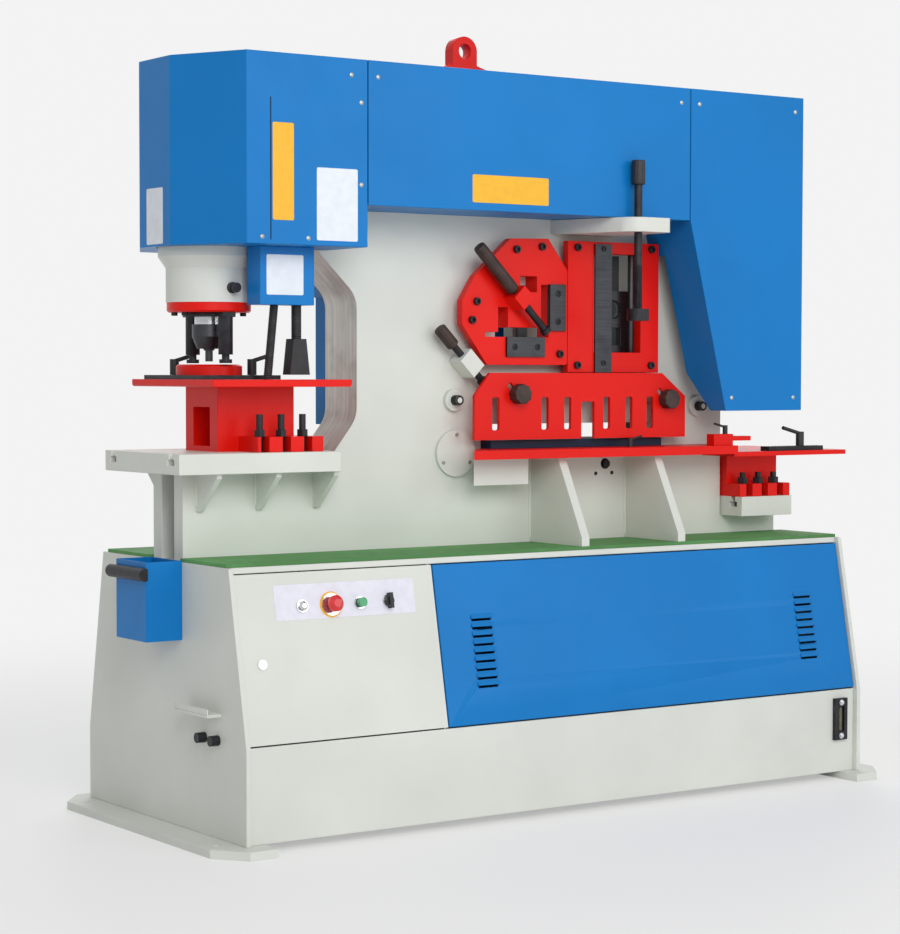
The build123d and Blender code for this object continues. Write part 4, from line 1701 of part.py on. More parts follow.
def wiring_panel():
    """Mounting plate with contactors and a terminal strip, standing on the cabinet floor."""
    plate = block((PANEL_LEFT_X, PANEL_RIGHT_X), (PANEL_Y, PANEL_Y + SHEET),
                  (CABINET_FLOOR_Z, CABINET_FLOOR_Z + PANEL_HEIGHT))
    low = CABINET_FLOOR_Z + CONTACTOR_RISE
    first = PANEL_LEFT_X + CONTACTOR_PITCH / 2
    for step in range(CONTACTOR_COUNT):
        left = first + step * CONTACTOR_PITCH
        plate += block((left, left + CONTACTOR_WIDTH), (PANEL_Y - CONTACTOR_DEPTH, PANEL_Y),
                       (low, low + CONTACTOR_HEIGHT))
    strip = CABINET_FLOOR_Z + TERMINAL_RISE
    return plate + block((first, PANEL_RIGHT_X - CONTACTOR_PITCH / 2),
                         (PANEL_Y - CONTACTOR_DEPTH / 2, PANEL_Y),
                         (strip, strip + TERMINAL_HEIGHT))


# Nodes: one file for each, named after the node

def nodes():
    """Every node's name with its shape."""
    return {
        "base_cabinet": group(base_cabinet(), hinge_pins()),
        "end_plates": group(end_plate(-1), end_plate(1)),
        "foot_rails": group(foot_rail(-1), foot_rail(1)),
        "deck_mat": deck_mat(),
        "electric_door": electric_door(),
        "louvre_panel": louvre_panel(),
        "door_lock": door_lock(),
        "button_bezels": button_bezels(),
        "start_button": start_button(),
        "stop_button": stop_button(),
        "selector_switch": selector_switch(),
        "tool_bin": tool_bin(),
        "small_fittings": group(bin_grip(), cable_hook(), oil_gauge()),
        "frame_front_plate": frame_plate(-1),
        "frame_rear_plate": frame_plate(1),
        "frame_stiffeners": group(frame_spacers(), throat_liner(), shelf_ribs(), table_gussets(),
                                  table_block(),
                                  guard_posts(),
                                  gib_screws(), clamp_sleeve(), notch_base(), top_bracket()),
        "head_cover": head_cover(),
        "middle_cover": middle_cover(),
        "right_cover": right_cover(),
        "rear_cover": rear_cover(),
        "lifting_lug": lifting_lug(),
        "punch_cylinder": punch_cylinder(),
        "cylinder_flange": cylinder_flange(),
        "punch_rod": punch_rod(),
        "punch_tool": group(coupling_nut() + punch_tool()),
        "stripper_fork": stripper_fork(),
        "punch_table": punch_table(),
        "gauge_plate": gauge_plate(),
        "gauge_lever_left": lever(GAUGE_LEVER_LEFT_X, GAUGE_LEVER_LEFT_Y, TABLE_TOP_Z + GAUGE_THICKNESS,
                                  GAUGE_THICKNESS,
                                  LEVER_HEADING),
        "gauge_lever_right": lever(GAUGE_LEVER_RIGHT_X, GAUGE_LEVER_RIGHT_Y, TABLE_TOP_Z + GAUGE_THICKNESS,
                                   GAUGE_THICKNESS, LEVER_HEADING),
        "die_holder": die_holder(),
        "die_pedestal": die_pedestal(),
        "clamp_studs": group(pedestal_studs(), notch_studs()),
        "slotted_shelf": slotted_shelf(),
        "switch_box": switch_box(),
        "work_lamp": group(lamp_conduit(), work_lamp()),
        "pivot_pin": pivot_pin(),
        "shear_beam": shear_beam(),
        "moving_blades": group(moving_blade(), notch_punch()),
        "drive_cylinder": drive_cylinder(),
        "drive_rod": drive_rod(),
        "angle_housing": angle_housing(),
        "fixed_blades": group(die(), angle_blades(), section_bar(), section_die(), section_rod(),
                              fixed_blade(),
                              notch_die()),
        "angle_clamp": angle_clamp(),
        "section_frame": section_frame(),
        "section_spindle": section_clamp(),
        "flat_guard": flat_guard(),
        "guard_knob_left": guard_knob(knob_places()[0]),
        "guard_knob_right": guard_knob(knob_places()[1]),
        "flat_clamp": flat_clamp(),
        "flat_bed": stock_bed(),
        "cut_table": group(cut_table(), notch_table()),
        "stop_lever": stop_lever(),
        "notch_block": group(notch_block(), clamp_block()),
        "notch_fence": notch_fence(),
        "notch_lever": notch_lever(),
        "clamp_lever": clamp_lever(),
        "oil_tank": oil_tank(),
        "power_pack": power_pack(),
        "wiring_panel": wiring_panel(),
    }


for name, shape in nodes().items():
    export_step(shape, "parts/" + name + ".step")
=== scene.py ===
import math

import bmesh
import bpy
import numpy as np
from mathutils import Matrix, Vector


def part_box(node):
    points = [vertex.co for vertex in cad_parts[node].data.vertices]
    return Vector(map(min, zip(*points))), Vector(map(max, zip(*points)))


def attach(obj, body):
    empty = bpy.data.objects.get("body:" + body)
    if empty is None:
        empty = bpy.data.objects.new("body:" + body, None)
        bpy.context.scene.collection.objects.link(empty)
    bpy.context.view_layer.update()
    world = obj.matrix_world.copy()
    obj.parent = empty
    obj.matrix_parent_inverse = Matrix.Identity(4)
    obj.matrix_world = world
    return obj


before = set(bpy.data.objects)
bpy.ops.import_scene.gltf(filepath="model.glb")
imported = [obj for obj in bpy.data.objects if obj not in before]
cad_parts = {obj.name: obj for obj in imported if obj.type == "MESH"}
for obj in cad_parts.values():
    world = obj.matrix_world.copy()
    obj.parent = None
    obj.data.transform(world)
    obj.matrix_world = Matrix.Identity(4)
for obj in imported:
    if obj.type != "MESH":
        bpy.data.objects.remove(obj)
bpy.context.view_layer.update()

# Ironworker machine dressed for the studio, in metres.
# X runs along the machine to the right, Y away from the operator's side, Z up.

# Planes and places of the machine that carry small pieces
COVER_FACE_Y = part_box("head_cover")[0][1]
NOSE_FACE_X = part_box("head_cover")[0][0]
FRAME_FACE_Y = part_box("frame_front_plate")[0][1]
STATION_FACE_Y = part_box("section_frame")[0][1]
SWITCH_FACE_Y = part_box("switch_box")[0][1]
CAP_FACE_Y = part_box("pivot_pin")[0][1]
LOWER_FRONT_Y = -0.377
KNEE_Z = 0.236
SLOPE_RISE = 0.400
SLOPE_RUN = 0.079
SLOPE_LENGTH = math.hypot(SLOPE_RISE, SLOPE_RUN)
SLOPE_UP = np.array([0.0, SLOPE_RUN, SLOPE_RISE]) / SLOPE_LENGTH
SLOPE_OUT = np.array([0.0, -SLOPE_RISE, SLOPE_RUN]) / SLOPE_LENGTH
PAN_PROUD = 0.005
RIGHT = np.array([1.0, 0.0, 0.0])
AWAY = np.array([0.0, 1.0, 0.0])
UP = np.array([0.0, 0.0, 1.0])

# Fineness of round pieces and depth to which pieces are let into their seats
ROUND_STEPS = 28
SINK = 0.0006


# Finishes

def linear(code):
    """Linear colour with alpha from a six-digit sRGB code, channel by channel along the sRGB curve."""
    channels = np.array([int(code[start:start + 2], 16) for start in (0, 2, 4)]) / 255
    curve = np.where(channels <= 0.04045, channels / 12.92, ((channels + 0.055) / 1.055) ** 2.4)
    return (*[float(value) for value in curve], 1.0)


class Finish:
    """A material under construction, with short ways to add and link its nodes."""

    def __init__(self, name, roughness, metallic=0.0, coat=0.0):
        """Start from an empty tree with a principled shader and object coordinates."""
        self.material = bpy.data.materials.new(name)
        self.material.use_nodes = True
        self.tree = self.material.node_tree
        self.shader = self.tree.nodes["Principled BSDF"]
        self.shader.inputs["Roughness"].default_value = roughness
        self.shader.inputs["Metallic"].default_value = metallic
        self.shader.inputs["Coat Weight"].default_value = coat
        self.place = self.add("ShaderNodeTexCoord").outputs["Object"]

    def add(self, kind, **settings):
        """New node with its settings."""
        node = self.tree.nodes.new(kind)
        for key, value in settings.items():
            setattr(node, key, value)
        return node

    def link(self, source, target):
        """Join an output to an input."""
        self.tree.links.new(source, target)

    def noise(self, scale, detail=4.0, stretch=(1.0, 1.0, 1.0)):
        """Noise on object coordinates, stretched along the axes."""
        mapping = self.add("ShaderNodeMapping")
        mapping.inputs["Scale"].default_value = stretch
        self.link(self.place, mapping.inputs["Vector"])
        node = self.add("ShaderNodeTexNoise")
        node.inputs["Scale"].default_value = scale
        node.inputs["Detail"].default_value = detail
        self.link(mapping.outputs["Vector"], node.inputs["Vector"])
        return node.outputs["Fac"]

    def ramp(self, source, low, high, first, second):
        """Colour ramp from the first colour at low to the second at high."""
        node = self.add("ShaderNodeValToRGB")
        node.color_ramp.elements[0].position = low
        node.color_ramp.elements[1].position = high
        node.color_ramp.elements[0].color = first
        node.color_ramp.elements[1].color = second
        self.link(source, node.inputs["Fac"])
        return node.outputs["Color"]

    def blend(self, factor, first, second):
        """Mix of two colour outputs by a factor output."""
        node = self.add("ShaderNodeMix", data_type="RGBA")
        self.link(factor, node.inputs["Factor"])
        self.link(first, node.inputs["A"])
        self.link(second, node.inputs["B"])
        return node.outputs["Result"]

    def colour(self, source):
        """Set the shader's base colour."""
        self.link(source, self.shader.inputs["Base Color"])

    def roughness(self, source, low, high):
        """Spread a noise over a span of roughness."""
        node = self.add("ShaderNodeMapRange")
        node.inputs["To Min"].default_value = low
        node.inputs["To Max"].default_value = high
        self.link(source, node.inputs["Value"])
        self.link(node.outputs["Result"], self.shader.inputs["Roughness"])

    def bump(self, source, strength, distance):
        """Raise the surface by a height output."""
        node = self.add("ShaderNodeBump")
        node.inputs["Strength"].default_value = strength
        node.inputs["Distance"].default_value = distance
        self.link(source, node.inputs["Height"])
        self.link(node.outputs["Normal"], self.shader.inputs["Normal"])


def shade(colour, factor):
    """The colour scaled towards black or white, kept within one."""
    return (*[min(channel * factor, 1.0) for channel in colour[:3]], 1.0)


def enamel(name, code, roughness=0.36, grime=0.86):
    """Machine enamel: slow drift of tint, handling grime in patches, uneven gloss and a fine sprayed skin."""
    finish = Finish(name, roughness)
    finish.shader.inputs["Specular IOR Level"].default_value = 0.22
    paint = linear(code)
    drift = finish.ramp(finish.noise(3.0, 3.0), 0.3, 0.7, shade(paint, 0.94), shade(paint, 1.04))
    dirty = finish.ramp(finish.noise(9.0, 6.0), 0.3, 0.7, shade(paint, grime), shade(paint, 0.98))
    patches = finish.ramp(finish.noise(1.7, 7.0), 0.56, 0.74, (0.0, 0.0, 0.0, 1.0), (0.8, 0.8, 0.8, 1.0))
    finish.colour(finish.blend(patches, drift, dirty))
    finish.roughness(finish.noise(14.0, 4.0), roughness - 0.07, roughness + 0.10)
    finish.bump(finish.noise(420.0, 2.0), 0.10, 0.0004)
    return finish.material


def ground_steel(name, code, roughness, stretch):
    """Ground metal: fine parallel scratches, stained in soft patches, with uneven polish."""
    finish = Finish(name, roughness, metallic=0.95)
    metal = linear(code)
    lines = finish.noise(260.0, 3.0, stretch)
    brushed = finish.ramp(lines, 0.3, 0.7, shade(metal, 0.80), shade(metal, 1.15))
    stained = finish.ramp(lines, 0.3, 0.7, shade(metal, 0.55), shade(metal, 0.85))
    patches = finish.ramp(finish.noise(16.0, 5.0), 0.5, 0.7, (0.0, 0.0, 0.0, 1.0), (0.7, 0.7, 0.7, 1.0))
    finish.colour(finish.blend(patches, brushed, stained))
    finish.roughness(lines, roughness - 0.08, roughness + 0.12)
    finish.bump(lines, 0.12, 0.0003)
    return finish.material


def blackened(name, code, roughness, metallic):
    """Blackened or moulded dark surface: faint cloudy tint, worn gloss and a grainy skin."""
    finish = Finish(name, roughness, metallic=metallic)
    dark = linear(code)
    finish.colour(finish.ramp(finish.noise(38.0, 6.0), 0.3, 0.72, shade(dark, 0.7), shade(dark, 1.7)))
    finish.roughness(finish.noise(55.0, 4.0), roughness - 0.10, roughness + 0.14)
    finish.bump(finish.noise(900.0, 2.0), 0.18, 0.0004)
    return finish.material


def moulded(name, code, roughness=0.28):
    """Glossy moulded plastic with a faint flow mottle."""
    finish = Finish(name, roughness, coat=0.3)
    plastic = linear(code)
    finish.colour(finish.ramp(finish.noise(90.0, 3.0), 0.3, 0.7, shade(plastic, 0.88), shade(plastic, 1.06)))
    finish.roughness(finish.noise(60.0, 3.0), roughness - 0.06, roughness + 0.10)
    finish.bump(finish.noise(700.0, 2.0), 0.06, 0.0003)
    return finish.material


def deck_rubber(name, code):
    """Deck matting: fine ribs along X, painted darker in their grooves as shade and lighter on their tops as
    highlight, with scuffs and dust between them.
    """
    finish = Finish(name, 0.7)
    rubber = linear(code)
    ribs = finish.add("ShaderNodeTexWave", bands_direction="Y")
    ribs.inputs["Scale"].default_value = 32.0
    finish.link(finish.place, ribs.inputs["Vector"])
    # Painted shade in the rib grooves and painted highlight on the rib tops, following the same waves as the
    # bump
    ribs_painted_shade = finish.ramp(ribs.outputs["Fac"], 0.1, 0.9, shade(rubber, 0.62), shade(rubber, 1.12))
    dusty = finish.ramp(finish.noise(60.0, 6.0), 0.3, 0.7, shade(rubber, 0.9), shade(rubber, 1.6))
    patches = finish.ramp(finish.noise(5.0, 6.0), 0.52, 0.75, (0.0, 0.0, 0.0, 1.0), (0.6, 0.6, 0.6, 1.0))
    finish.colour(finish.blend(patches, ribs_painted_shade, dusty))
    finish.roughness(finish.noise(24.0, 5.0), 0.55, 0.85)
    finish.bump(ribs.outputs["Fac"], 0.5, 0.002)
    return finish.material


def printed_plate(name, code):
    """Thin bare plate: satin ink skin with faint rub marks."""
    finish = Finish(name, 0.4)
    ink = linear(code)
    finish.colour(finish.ramp(finish.noise(46.0, 5.0), 0.3, 0.72, shade(ink, 0.93), shade(ink, 1.02)))
    finish.roughness(finish.noise(70.0, 4.0), 0.32, 0.52)
    finish.bump(finish.noise(600.0, 2.0), 0.05, 0.0002)
    return finish.material


def sight_glass(name, code):
    """Clear tinted glass with a slight waviness."""
    finish = Finish(name, 0.06)
    finish.shader.inputs["Transmission Weight"].default_value = 0.85
    finish.shader.inputs["IOR"].default_value = 1.47
    tint = linear(code)
    finish.colour(finish.ramp(finish.noise(40.0, 2.0), 0.3, 0.7, shade(tint, 0.96), shade(tint, 1.02)))
    finish.roughness(finish.noise(80.0, 3.0), 0.03, 0.10)
    finish.bump(finish.noise(120.0, 2.0), 0.03, 0.0003)
    return finish.material


WHITE_ENAMEL = enamel("white_enamel", "D9DCD5", 0.40, 0.90)
BLUE_ENAMEL = enamel("blue_enamel", "0A78C2", 0.38, 0.84)
RED_ENAMEL = enamel("red_enamel", "E3160C", 0.34, 0.82)
NAVY_ENAMEL = enamel("navy_enamel", "14243F", 0.40, 0.80)
GREY_ENAMEL = enamel("grey_enamel", "8A9092", 0.42, 0.85)
GREEN_RUBBER = deck_rubber("green_matting", "5C9C58")
BRIGHT_STEEL = ground_steel("bright_steel", "C9CBCE", 0.26, (0.05, 0.05, 1.0))
TOOL_STEEL = ground_steel("tool_steel", "4A4B4E", 0.40, (0.06, 1.0, 1.0))
MACHINED_EDGE = ground_steel("machined_edge", "C6C5BF", 0.50, (0.05, 0.35, 0.015))
ZINC_SHEET = ground_steel("zinc_sheet", "B9BCB6", 0.42, (1.0, 0.2, 0.3))
BLACK_STEEL = blackened("blackened_steel", "26262A", 0.45, 0.55)
BLACK_PLASTIC = blackened("black_plastic", "1B1B1E", 0.52, 0.0)
BROWN_GRIP = blackened("brown_grip", "33241F", 0.58, 0.0)
CHROME = ground_steel("satin_chrome", "D8DADD", 0.18, (1.0, 1.0, 1.0))
GREEN_PLASTIC = moulded("green_plastic", "2E9A63")
RED_PLASTIC = moulded("red_plastic", "D81F26")
YELLOW_PLATE = printed_plate("yellow_plate", "F2B51D")
WHITE_PLATE = printed_plate("white_plate", "E4EAF2")
LILAC_PLATE = printed_plate("lilac_plate", "E2E2EE")
OIL_GLASS = sight_glass("oil_glass", "E9DFA8")

NODE_FINISHES = {
    "base_cabinet end_plates foot_rails electric_door frame_front_plate frame_rear_plate frame_stiffeners "
    "punch_cylinder slotted_shelf pivot_pin": WHITE_ENAMEL,
    "louvre_panel head_cover middle_cover right_cover rear_cover tool_bin switch_box": BLUE_ENAMEL,
    "lifting_lug cylinder_flange punch_table die_holder die_pedestal angle_housing section_frame flat_guard "
    "cut_table notch_block": RED_ENAMEL,
    "deck_mat": GREEN_RUBBER,
    "punch_rod drive_rod": BRIGHT_STEEL,
    "punch_tool fixed_blades moving_blades shear_beam": TOOL_STEEL,
    "stripper_fork gauge_plate clamp_studs notch_fence section_spindle angle_clamp flat_clamp": BLACK_STEEL,
    "flat_bed": NAVY_ENAMEL,
    "gauge_lever_left gauge_lever_right guard_knob_left guard_knob_right stop_lever notch_lever clamp_lever "
    "selector_switch work_lamp": BLACK_PLASTIC,
    "button_bezels door_lock": CHROME,
    "start_button": GREEN_PLASTIC,
    "stop_button": RED_PLASTIC,
    "small_fittings": BLACK_STEEL,
    "drive_cylinder oil_tank power_pack": GREY_ENAMEL,
    "wiring_panel": ZINC_SHEET,
}


def finish_nodes():
    """Give every node of the model its finish."""
    for names, material in NODE_FINISHES.items():
        for name in names.split():
            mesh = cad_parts[name].data
            mesh.materials.clear()
            mesh.materials.append(material)


# Surfaces worked out on grids

def ring_faces(rows, steps):
    """Quads of closed rings: each step joins the next in its row and both steps of the next row."""
    row = np.arange(rows - 1)[:, None] * steps
    here = np.arange(steps)[None, :]
    after = (here + 1) % steps
    corners = [row + here, row + after, row + steps + after, row + steps + here]
    return np.stack(corners, axis=-1).reshape(-1, 4)


def turned(profile, steps=ROUND_STEPS, flutes=0, depth=0.0):
    """Turned surface: (r, h) goes to (r f cos t, r f sin t, h), with f = 1 + depth cos(flutes t)."""
    radius, height = np.array(profile, dtype=float).T
    turn = np.linspace(0, 2 * np.pi, steps, endpoint=False)
    swell = 1 + depth * np.cos(flutes * turn)
    across = radius[:, None] * swell * np.cos(turn)
    along = radius[:, None] * swell * np.sin(turn)
    up = np.repeat(height[:, None], steps, axis=1)
    return np.stack([across, along, up], axis=-1).reshape(-1, 3), ring_faces(len(radius), steps)


def plate(width, height, thickness, corner):
    """Plate with round corners and a broken top edge: rings of a rounded rectangle from base to top."""
    steps = 40
    turn = np.linspace(0, 2 * np.pi, steps, endpoint=False) + np.pi / steps
    across = np.sign(np.cos(turn)) * (width / 2 - corner)
    along = np.sign(np.sin(turn)) * (height / 2 - corner)
    centre = np.stack([across, along], axis=1)
    edge = centre + corner * np.stack([np.cos(turn), np.sin(turn)], axis=1)
    lip = min(corner, thickness) * 0.4
    inner = centre + (corner - lip) * np.stack([np.cos(turn), np.sin(turn)], axis=1)
    flat = np.zeros((steps, 2))
    rings = [(flat, 0.0), (edge, 0.0), (edge, thickness - lip), (inner, thickness), (flat, thickness)]
    rows = [np.column_stack([outline, np.full(steps, level)]) for outline, level in rings]
    return np.concatenate(rows), ring_faces(len(rows), steps)


def sleeve(start, end, radius, pitch, swell):
    """Corrugated tube from start to end: at distance s its radius is radius + swell cos(2 pi s / pitch)."""
    length = float(np.linalg.norm(np.subtract(end, start)))
    along = np.linspace(0, length, int(length / pitch) * 6)
    profile = np.column_stack([radius + swell * np.cos(2 * np.pi * along / pitch), along])
    closed = np.concatenate([[[0.0, 0.0]], profile, [[0.0, length]]])
    return stood(turned(closed), start, np.subtract(end, start))


def bead(start, end, radius):
    """Weld bead: a bar of rippling radius, at distance s radius (1 + 0.18 sin(pi s / radius)^2)."""
    length = float(np.linalg.norm(np.subtract(end, start)))
    along = np.linspace(0, length, max(int(length / radius) * 3, 8))
    ripple = radius * (1 + 0.18 * np.sin(np.pi * along / radius) ** 2)
    closed = np.concatenate([[[0.0, 0.0]], np.column_stack([ripple, along]), [[0.0, length]]])
    return stood(turned(closed, 10), start, np.subtract(end, start))


def stood(shape, origin, axis, across=None):
    """The shape with its Z axis along axis and its X axis along across, moved to origin."""
    points, faces = shape
    ahead = np.array(axis, dtype=float) / np.linalg.norm(axis)
    if across is None:
        across = UP if abs(ahead[2]) < 0.9 else RIGHT
    side = np.array(across, dtype=float) - np.dot(across, ahead) * ahead
    side /= np.linalg.norm(side)
    basis = np.stack([side, np.cross(ahead, side), ahead])
    return points @ basis + np.array(origin, dtype=float), faces


def piece(name, shapes, material, body):
    """One mesh from several shapes: doubles merged, normals outwards, sharp edges kept, riding on a body."""
    starts = np.cumsum([0] + [len(points) for points, faces in shapes])
    points = np.concatenate([points for points, faces in shapes])
    faces = np.concatenate([faces + start for (corners, faces), start in zip(shapes, starts)])
    mesh = bpy.data.meshes.new(name)
    mesh.from_pydata(points.tolist(), [], faces.tolist())
    work = bmesh.new()
    work.from_mesh(mesh)
    bmesh.ops.remove_doubles(work, verts=work.verts, dist=1e-7)
    bmesh.ops.dissolve_degenerate(work, edges=work.edges, dist=1e-7)
    bmesh.ops.recalc_face_normals(work, faces=work.faces)
    work.to_mesh(mesh)
    work.free()
    mesh.polygons.foreach_set("use_smooth", np.ones(len(mesh.polygons), dtype=bool))
    mesh.set_sharp_from_angle(angle=math.radians(35))
    mesh.materials.append(material)
    made = bpy.data.objects.new(name, mesh)
    bpy.context.scene.collection.objects.link(made)
    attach(made, body)
    return made


# Fasteners

def socket_screw(seat, axis, radius, height):
    """Cap screw with a round socket in its head, let a little into its seat."""
    profile = [(0, -SINK), (radius, -SINK), (radius, height * 0.86), (radius * 0.9, height),
               (radius * 0.56, height),
               (radius * 0.52, height * 0.35), (0, height * 0.3)]
    return stood(turned(profile), seat, axis)


def hex_head(seat, axis, radius, height):
    """Hexagon head on a washer."""
    washer = turned([(0, -SINK), (radius * 1.25, -SINK), (radius * 1.25, height * 0.2), (0, height * 0.2)])
    head = turned([(0, height * 0.2 - SINK), (radius, height * 0.2 - SINK), (radius, height * 0.92),
                   (radius * 0.86, height), (0, height)], 6)
    return [stood(washer, seat, axis), stood(head, seat, axis)]


def dome_screw(seat, axis, radius):
    """Low domed screw head: height falls with the square of the distance from its axis."""
    share = np.linspace(1, 0, 7)
    dome = np.column_stack([radius * share, radius * 0.45 * (1 - share ** 2)])
    return stood(turned(np.concatenate([[[0.0, -SINK], [radius, -SINK]], dome])), seat, axis)


STATION_SCREW_RADIUS = 0.0095
STATION_SCREW_HEIGHT = 0.009
STATION_SCREW_PLACES = ((-0.004, 1.383), (-0.126, 1.251), (0.132, 1.122), (0.188, 1.394), (0.430, 1.395),
                        (0.188, 1.094), (0.430, 1.094), (-0.140, 1.205), (0.075, 1.392))
BLADE_SCREW_RADIUS = 0.0070
BLADE_SCREW_HEIGHT = 0.0028
BLADE_SEAT_Y = -0.127
BLADE_SCREW_PLACES = ((0.123, 1.2036), (0.123, 1.2744), (-0.0124, 1.139), (0.0584, 1.139))
BAR_FACE_Y = -0.129
BAR_SCREW_PLACES = ((0.270, 1.100), (0.270, 1.392))
GIB_PLACES = ((-0.164, 1.006), (0.626, 0.986))
GIB_WASHER_Y = -0.085
GIB_BOLT_RADIUS = 0.0128
GIB_BOLT_LENGTH = 0.0225
CAP_CENTRE = (-0.158, 0.874)
CAP_SCREW_RING = 0.046
CAP_SCREW_RADIUS = 0.0042
COVER_SCREW_RADIUS = 0.0055
COVER_SCREW_PLACES = ((-0.578, 1.762), (-0.817, 1.382), (-0.695, 1.382), (-0.551, 1.510), (-0.551, 1.700),
                      (-0.505, 1.762), (0.415, 1.762), (0.475, 1.762), (0.805, 1.762), (0.805, 1.010),
                      (0.590, 1.010))
FRAME_HOLE_RADIUS = 0.0050
FRAME_HOLE_PLACES = ((0.199, 0.812), (0.290, 0.813), (0.343, 0.814))
TABLE_BOLT_RADIUS = 0.0110
TABLE_BOLT_HEIGHT = 0.010
TABLE_BOLT_PLACES = ((0.320, 0.838), (0.465, 0.838))


def station_fasteners():
    """Screws on the shear stations, the pivot cap, the covers and the frame, and thin black discs of painted
    shade in the frame's holes.
    """
    front = -AWAY
    screws = [socket_screw((x, STATION_FACE_Y, z), front, STATION_SCREW_RADIUS, STATION_SCREW_HEIGHT)
              for x, z in STATION_SCREW_PLACES]
    screws += [socket_screw((x, BLADE_SEAT_Y, z), front, BLADE_SCREW_RADIUS, BLADE_SCREW_HEIGHT)
               for x, z in BLADE_SCREW_PLACES]
    screws += [socket_screw((x, BAR_FACE_Y, z), front, BLADE_SCREW_RADIUS, BLADE_SCREW_HEIGHT)
               for x, z in BAR_SCREW_PLACES]
    screws += [socket_screw((x, GIB_WASHER_Y, z), front, GIB_BOLT_RADIUS, GIB_BOLT_LENGTH)
               for x, z in GIB_PLACES]
    piece("station_screws", screws, BLACK_STEEL, "machine")
    turns = np.radians((90, 210, 330))
    small = [socket_screw((CAP_CENTRE[0] + CAP_SCREW_RING * np.cos(turn), CAP_FACE_Y,
                           CAP_CENTRE[1] + CAP_SCREW_RING * np.sin(turn)), front, CAP_SCREW_RADIUS,
                          CAP_SCREW_RADIUS)
             for turn in turns]
    piece("pivot_cap_screws", small, ZINC_SHEET, "machine")
    domes = [dome_screw((x, side * COVER_FACE_Y, z), -side * AWAY, COVER_SCREW_RADIUS)
             for x, z in COVER_SCREW_PLACES for side in (1, -1)]
    piece("cover_screws", domes, ZINC_SHEET, "machine")
    # Thin black discs flush on the frame face: painted shade standing for the depth of the frame's holes
    hole_shades = [stood(turned([(0, 0), (FRAME_HOLE_RADIUS, 0), (FRAME_HOLE_RADIUS, SINK), (0, SINK / 2)]),
                   (x, FRAME_FACE_Y, z), front) for x, z in FRAME_HOLE_PLACES]
    piece("frame_holes_painted_shade", hole_shades, BLACK_STEEL, "machine")
    bolts = [shape for x, z in TABLE_BOLT_PLACES
             for shape in hex_head((x, FRAME_FACE_Y, z), front, TABLE_BOLT_RADIUS, TABLE_BOLT_HEIGHT)]
    piece("table_bolts", bolts, BLACK_STEEL, "machine")


# Bare plates

PLATE_THICKNESS = 0.0008
PLATE_CORNER = 0.004
CONTROL_PLATE_THICKNESS = 0.0015
CONTROL_CENTRE = (-0.632, 0.322)
CONTROL_SIZE = (0.380, 0.082)
NOSE_PLATE_SIZE = (0.080, 0.130)
NOSE_PLATE_Z = 1.436
FRONT_PLATES = {
    "yellow_plate_upright": ((-0.790, -0.734), (1.421, 1.642), COVER_FACE_Y, YELLOW_PLATE),
    "yellow_plate_level": ((-0.236, -0.008), (1.483, 1.550), COVER_FACE_Y, YELLOW_PLATE),
    "white_plate_cover": ((-0.673, -0.562), (1.378, 1.545), COVER_FACE_Y, WHITE_PLATE),
    "white_plate_switch_box": ((-0.761, -0.662), (1.254, 1.347), SWITCH_FACE_Y, WHITE_PLATE),
}


def front_place(across, up, out):
    """Point on the sloping front from X, height up the slope and distance out of it."""
    return np.array([across, LOWER_FRONT_Y, KNEE_Z]) + up * SLOPE_UP + out * SLOPE_OUT


def cover_plate(name, span_x, span_z, face_y, material):
    """Thin plate on an upright front face."""
    middle = ((span_x[0] + span_x[1]) / 2, face_y + SINK / 2, (span_z[0] + span_z[1]) / 2)
    flat = plate(span_x[1] - span_x[0], span_z[1] - span_z[0], PLATE_THICKNESS, PLATE_CORNER)
    piece(name, [stood(flat, middle, -AWAY, RIGHT)], material, "machine")


def bare_plates():
    """Plain plates on the covers, the nose, the switch box and the door."""
    for name, (span_x, span_z, face_y, material) in FRONT_PLATES.items():
        cover_plate(name, span_x, span_z, face_y, material)
    nose = plate(NOSE_PLATE_SIZE[0], NOSE_PLATE_SIZE[1], PLATE_THICKNESS, PLATE_CORNER)
    middle = (NOSE_FACE_X + SINK / 2, 0.0, NOSE_PLATE_Z)
    piece("white_plate_nose", [stood(nose, middle, -RIGHT, AWAY)], WHITE_PLATE, "machine")
    control = plate(CONTROL_SIZE[0], CONTROL_SIZE[1], CONTROL_PLATE_THICKNESS, PLATE_CORNER)
    place = front_place(CONTROL_CENTRE[0], CONTROL_CENTRE[1], PAN_PROUD - SINK / 2)
    piece("control_plate", [stood(control, place, SLOPE_OUT, RIGHT)], LILAC_PLATE, "door")


# Grips and knobs

LEAN_AXIS = np.array([1.0, 0.0, -1.0]) / math.sqrt(2)
ANGLE_SCREW_PLACE = np.array([0.001, -0.152, 1.245])
ANGLE_GRIP_BACK = 0.1985
ANGLE_GRIP_LENGTH = 0.150
FLAT_SCREW_PLACE = np.array([-0.140, -0.106, 1.098])
FLAT_GRIP_BACK = 0.1205
FLAT_GRIP_LENGTH = 0.059
GRIP_RADIUS = 0.0158
GRIP_FLUTES = 14
GRIP_FLUTE_DEPTH = 0.022
SPINDLE_PLACE = np.array([0.256, -0.285, 1.5455])
SPINDLE_GRIP_RADIUS = 0.0168
SPINDLE_GRIP_LENGTH = 0.061
KNOB_PLACES = {"knob_left": (-0.014, 1.021), "knob_right": (0.468, 1.006)}
KNOB_SEAT_Y = -0.1412
KNOB_RADIUS = 0.0245
KNOB_LENGTH = 0.0305
KNOB_FLUTES = 9
KNOB_FLUTE_DEPTH = 0.045


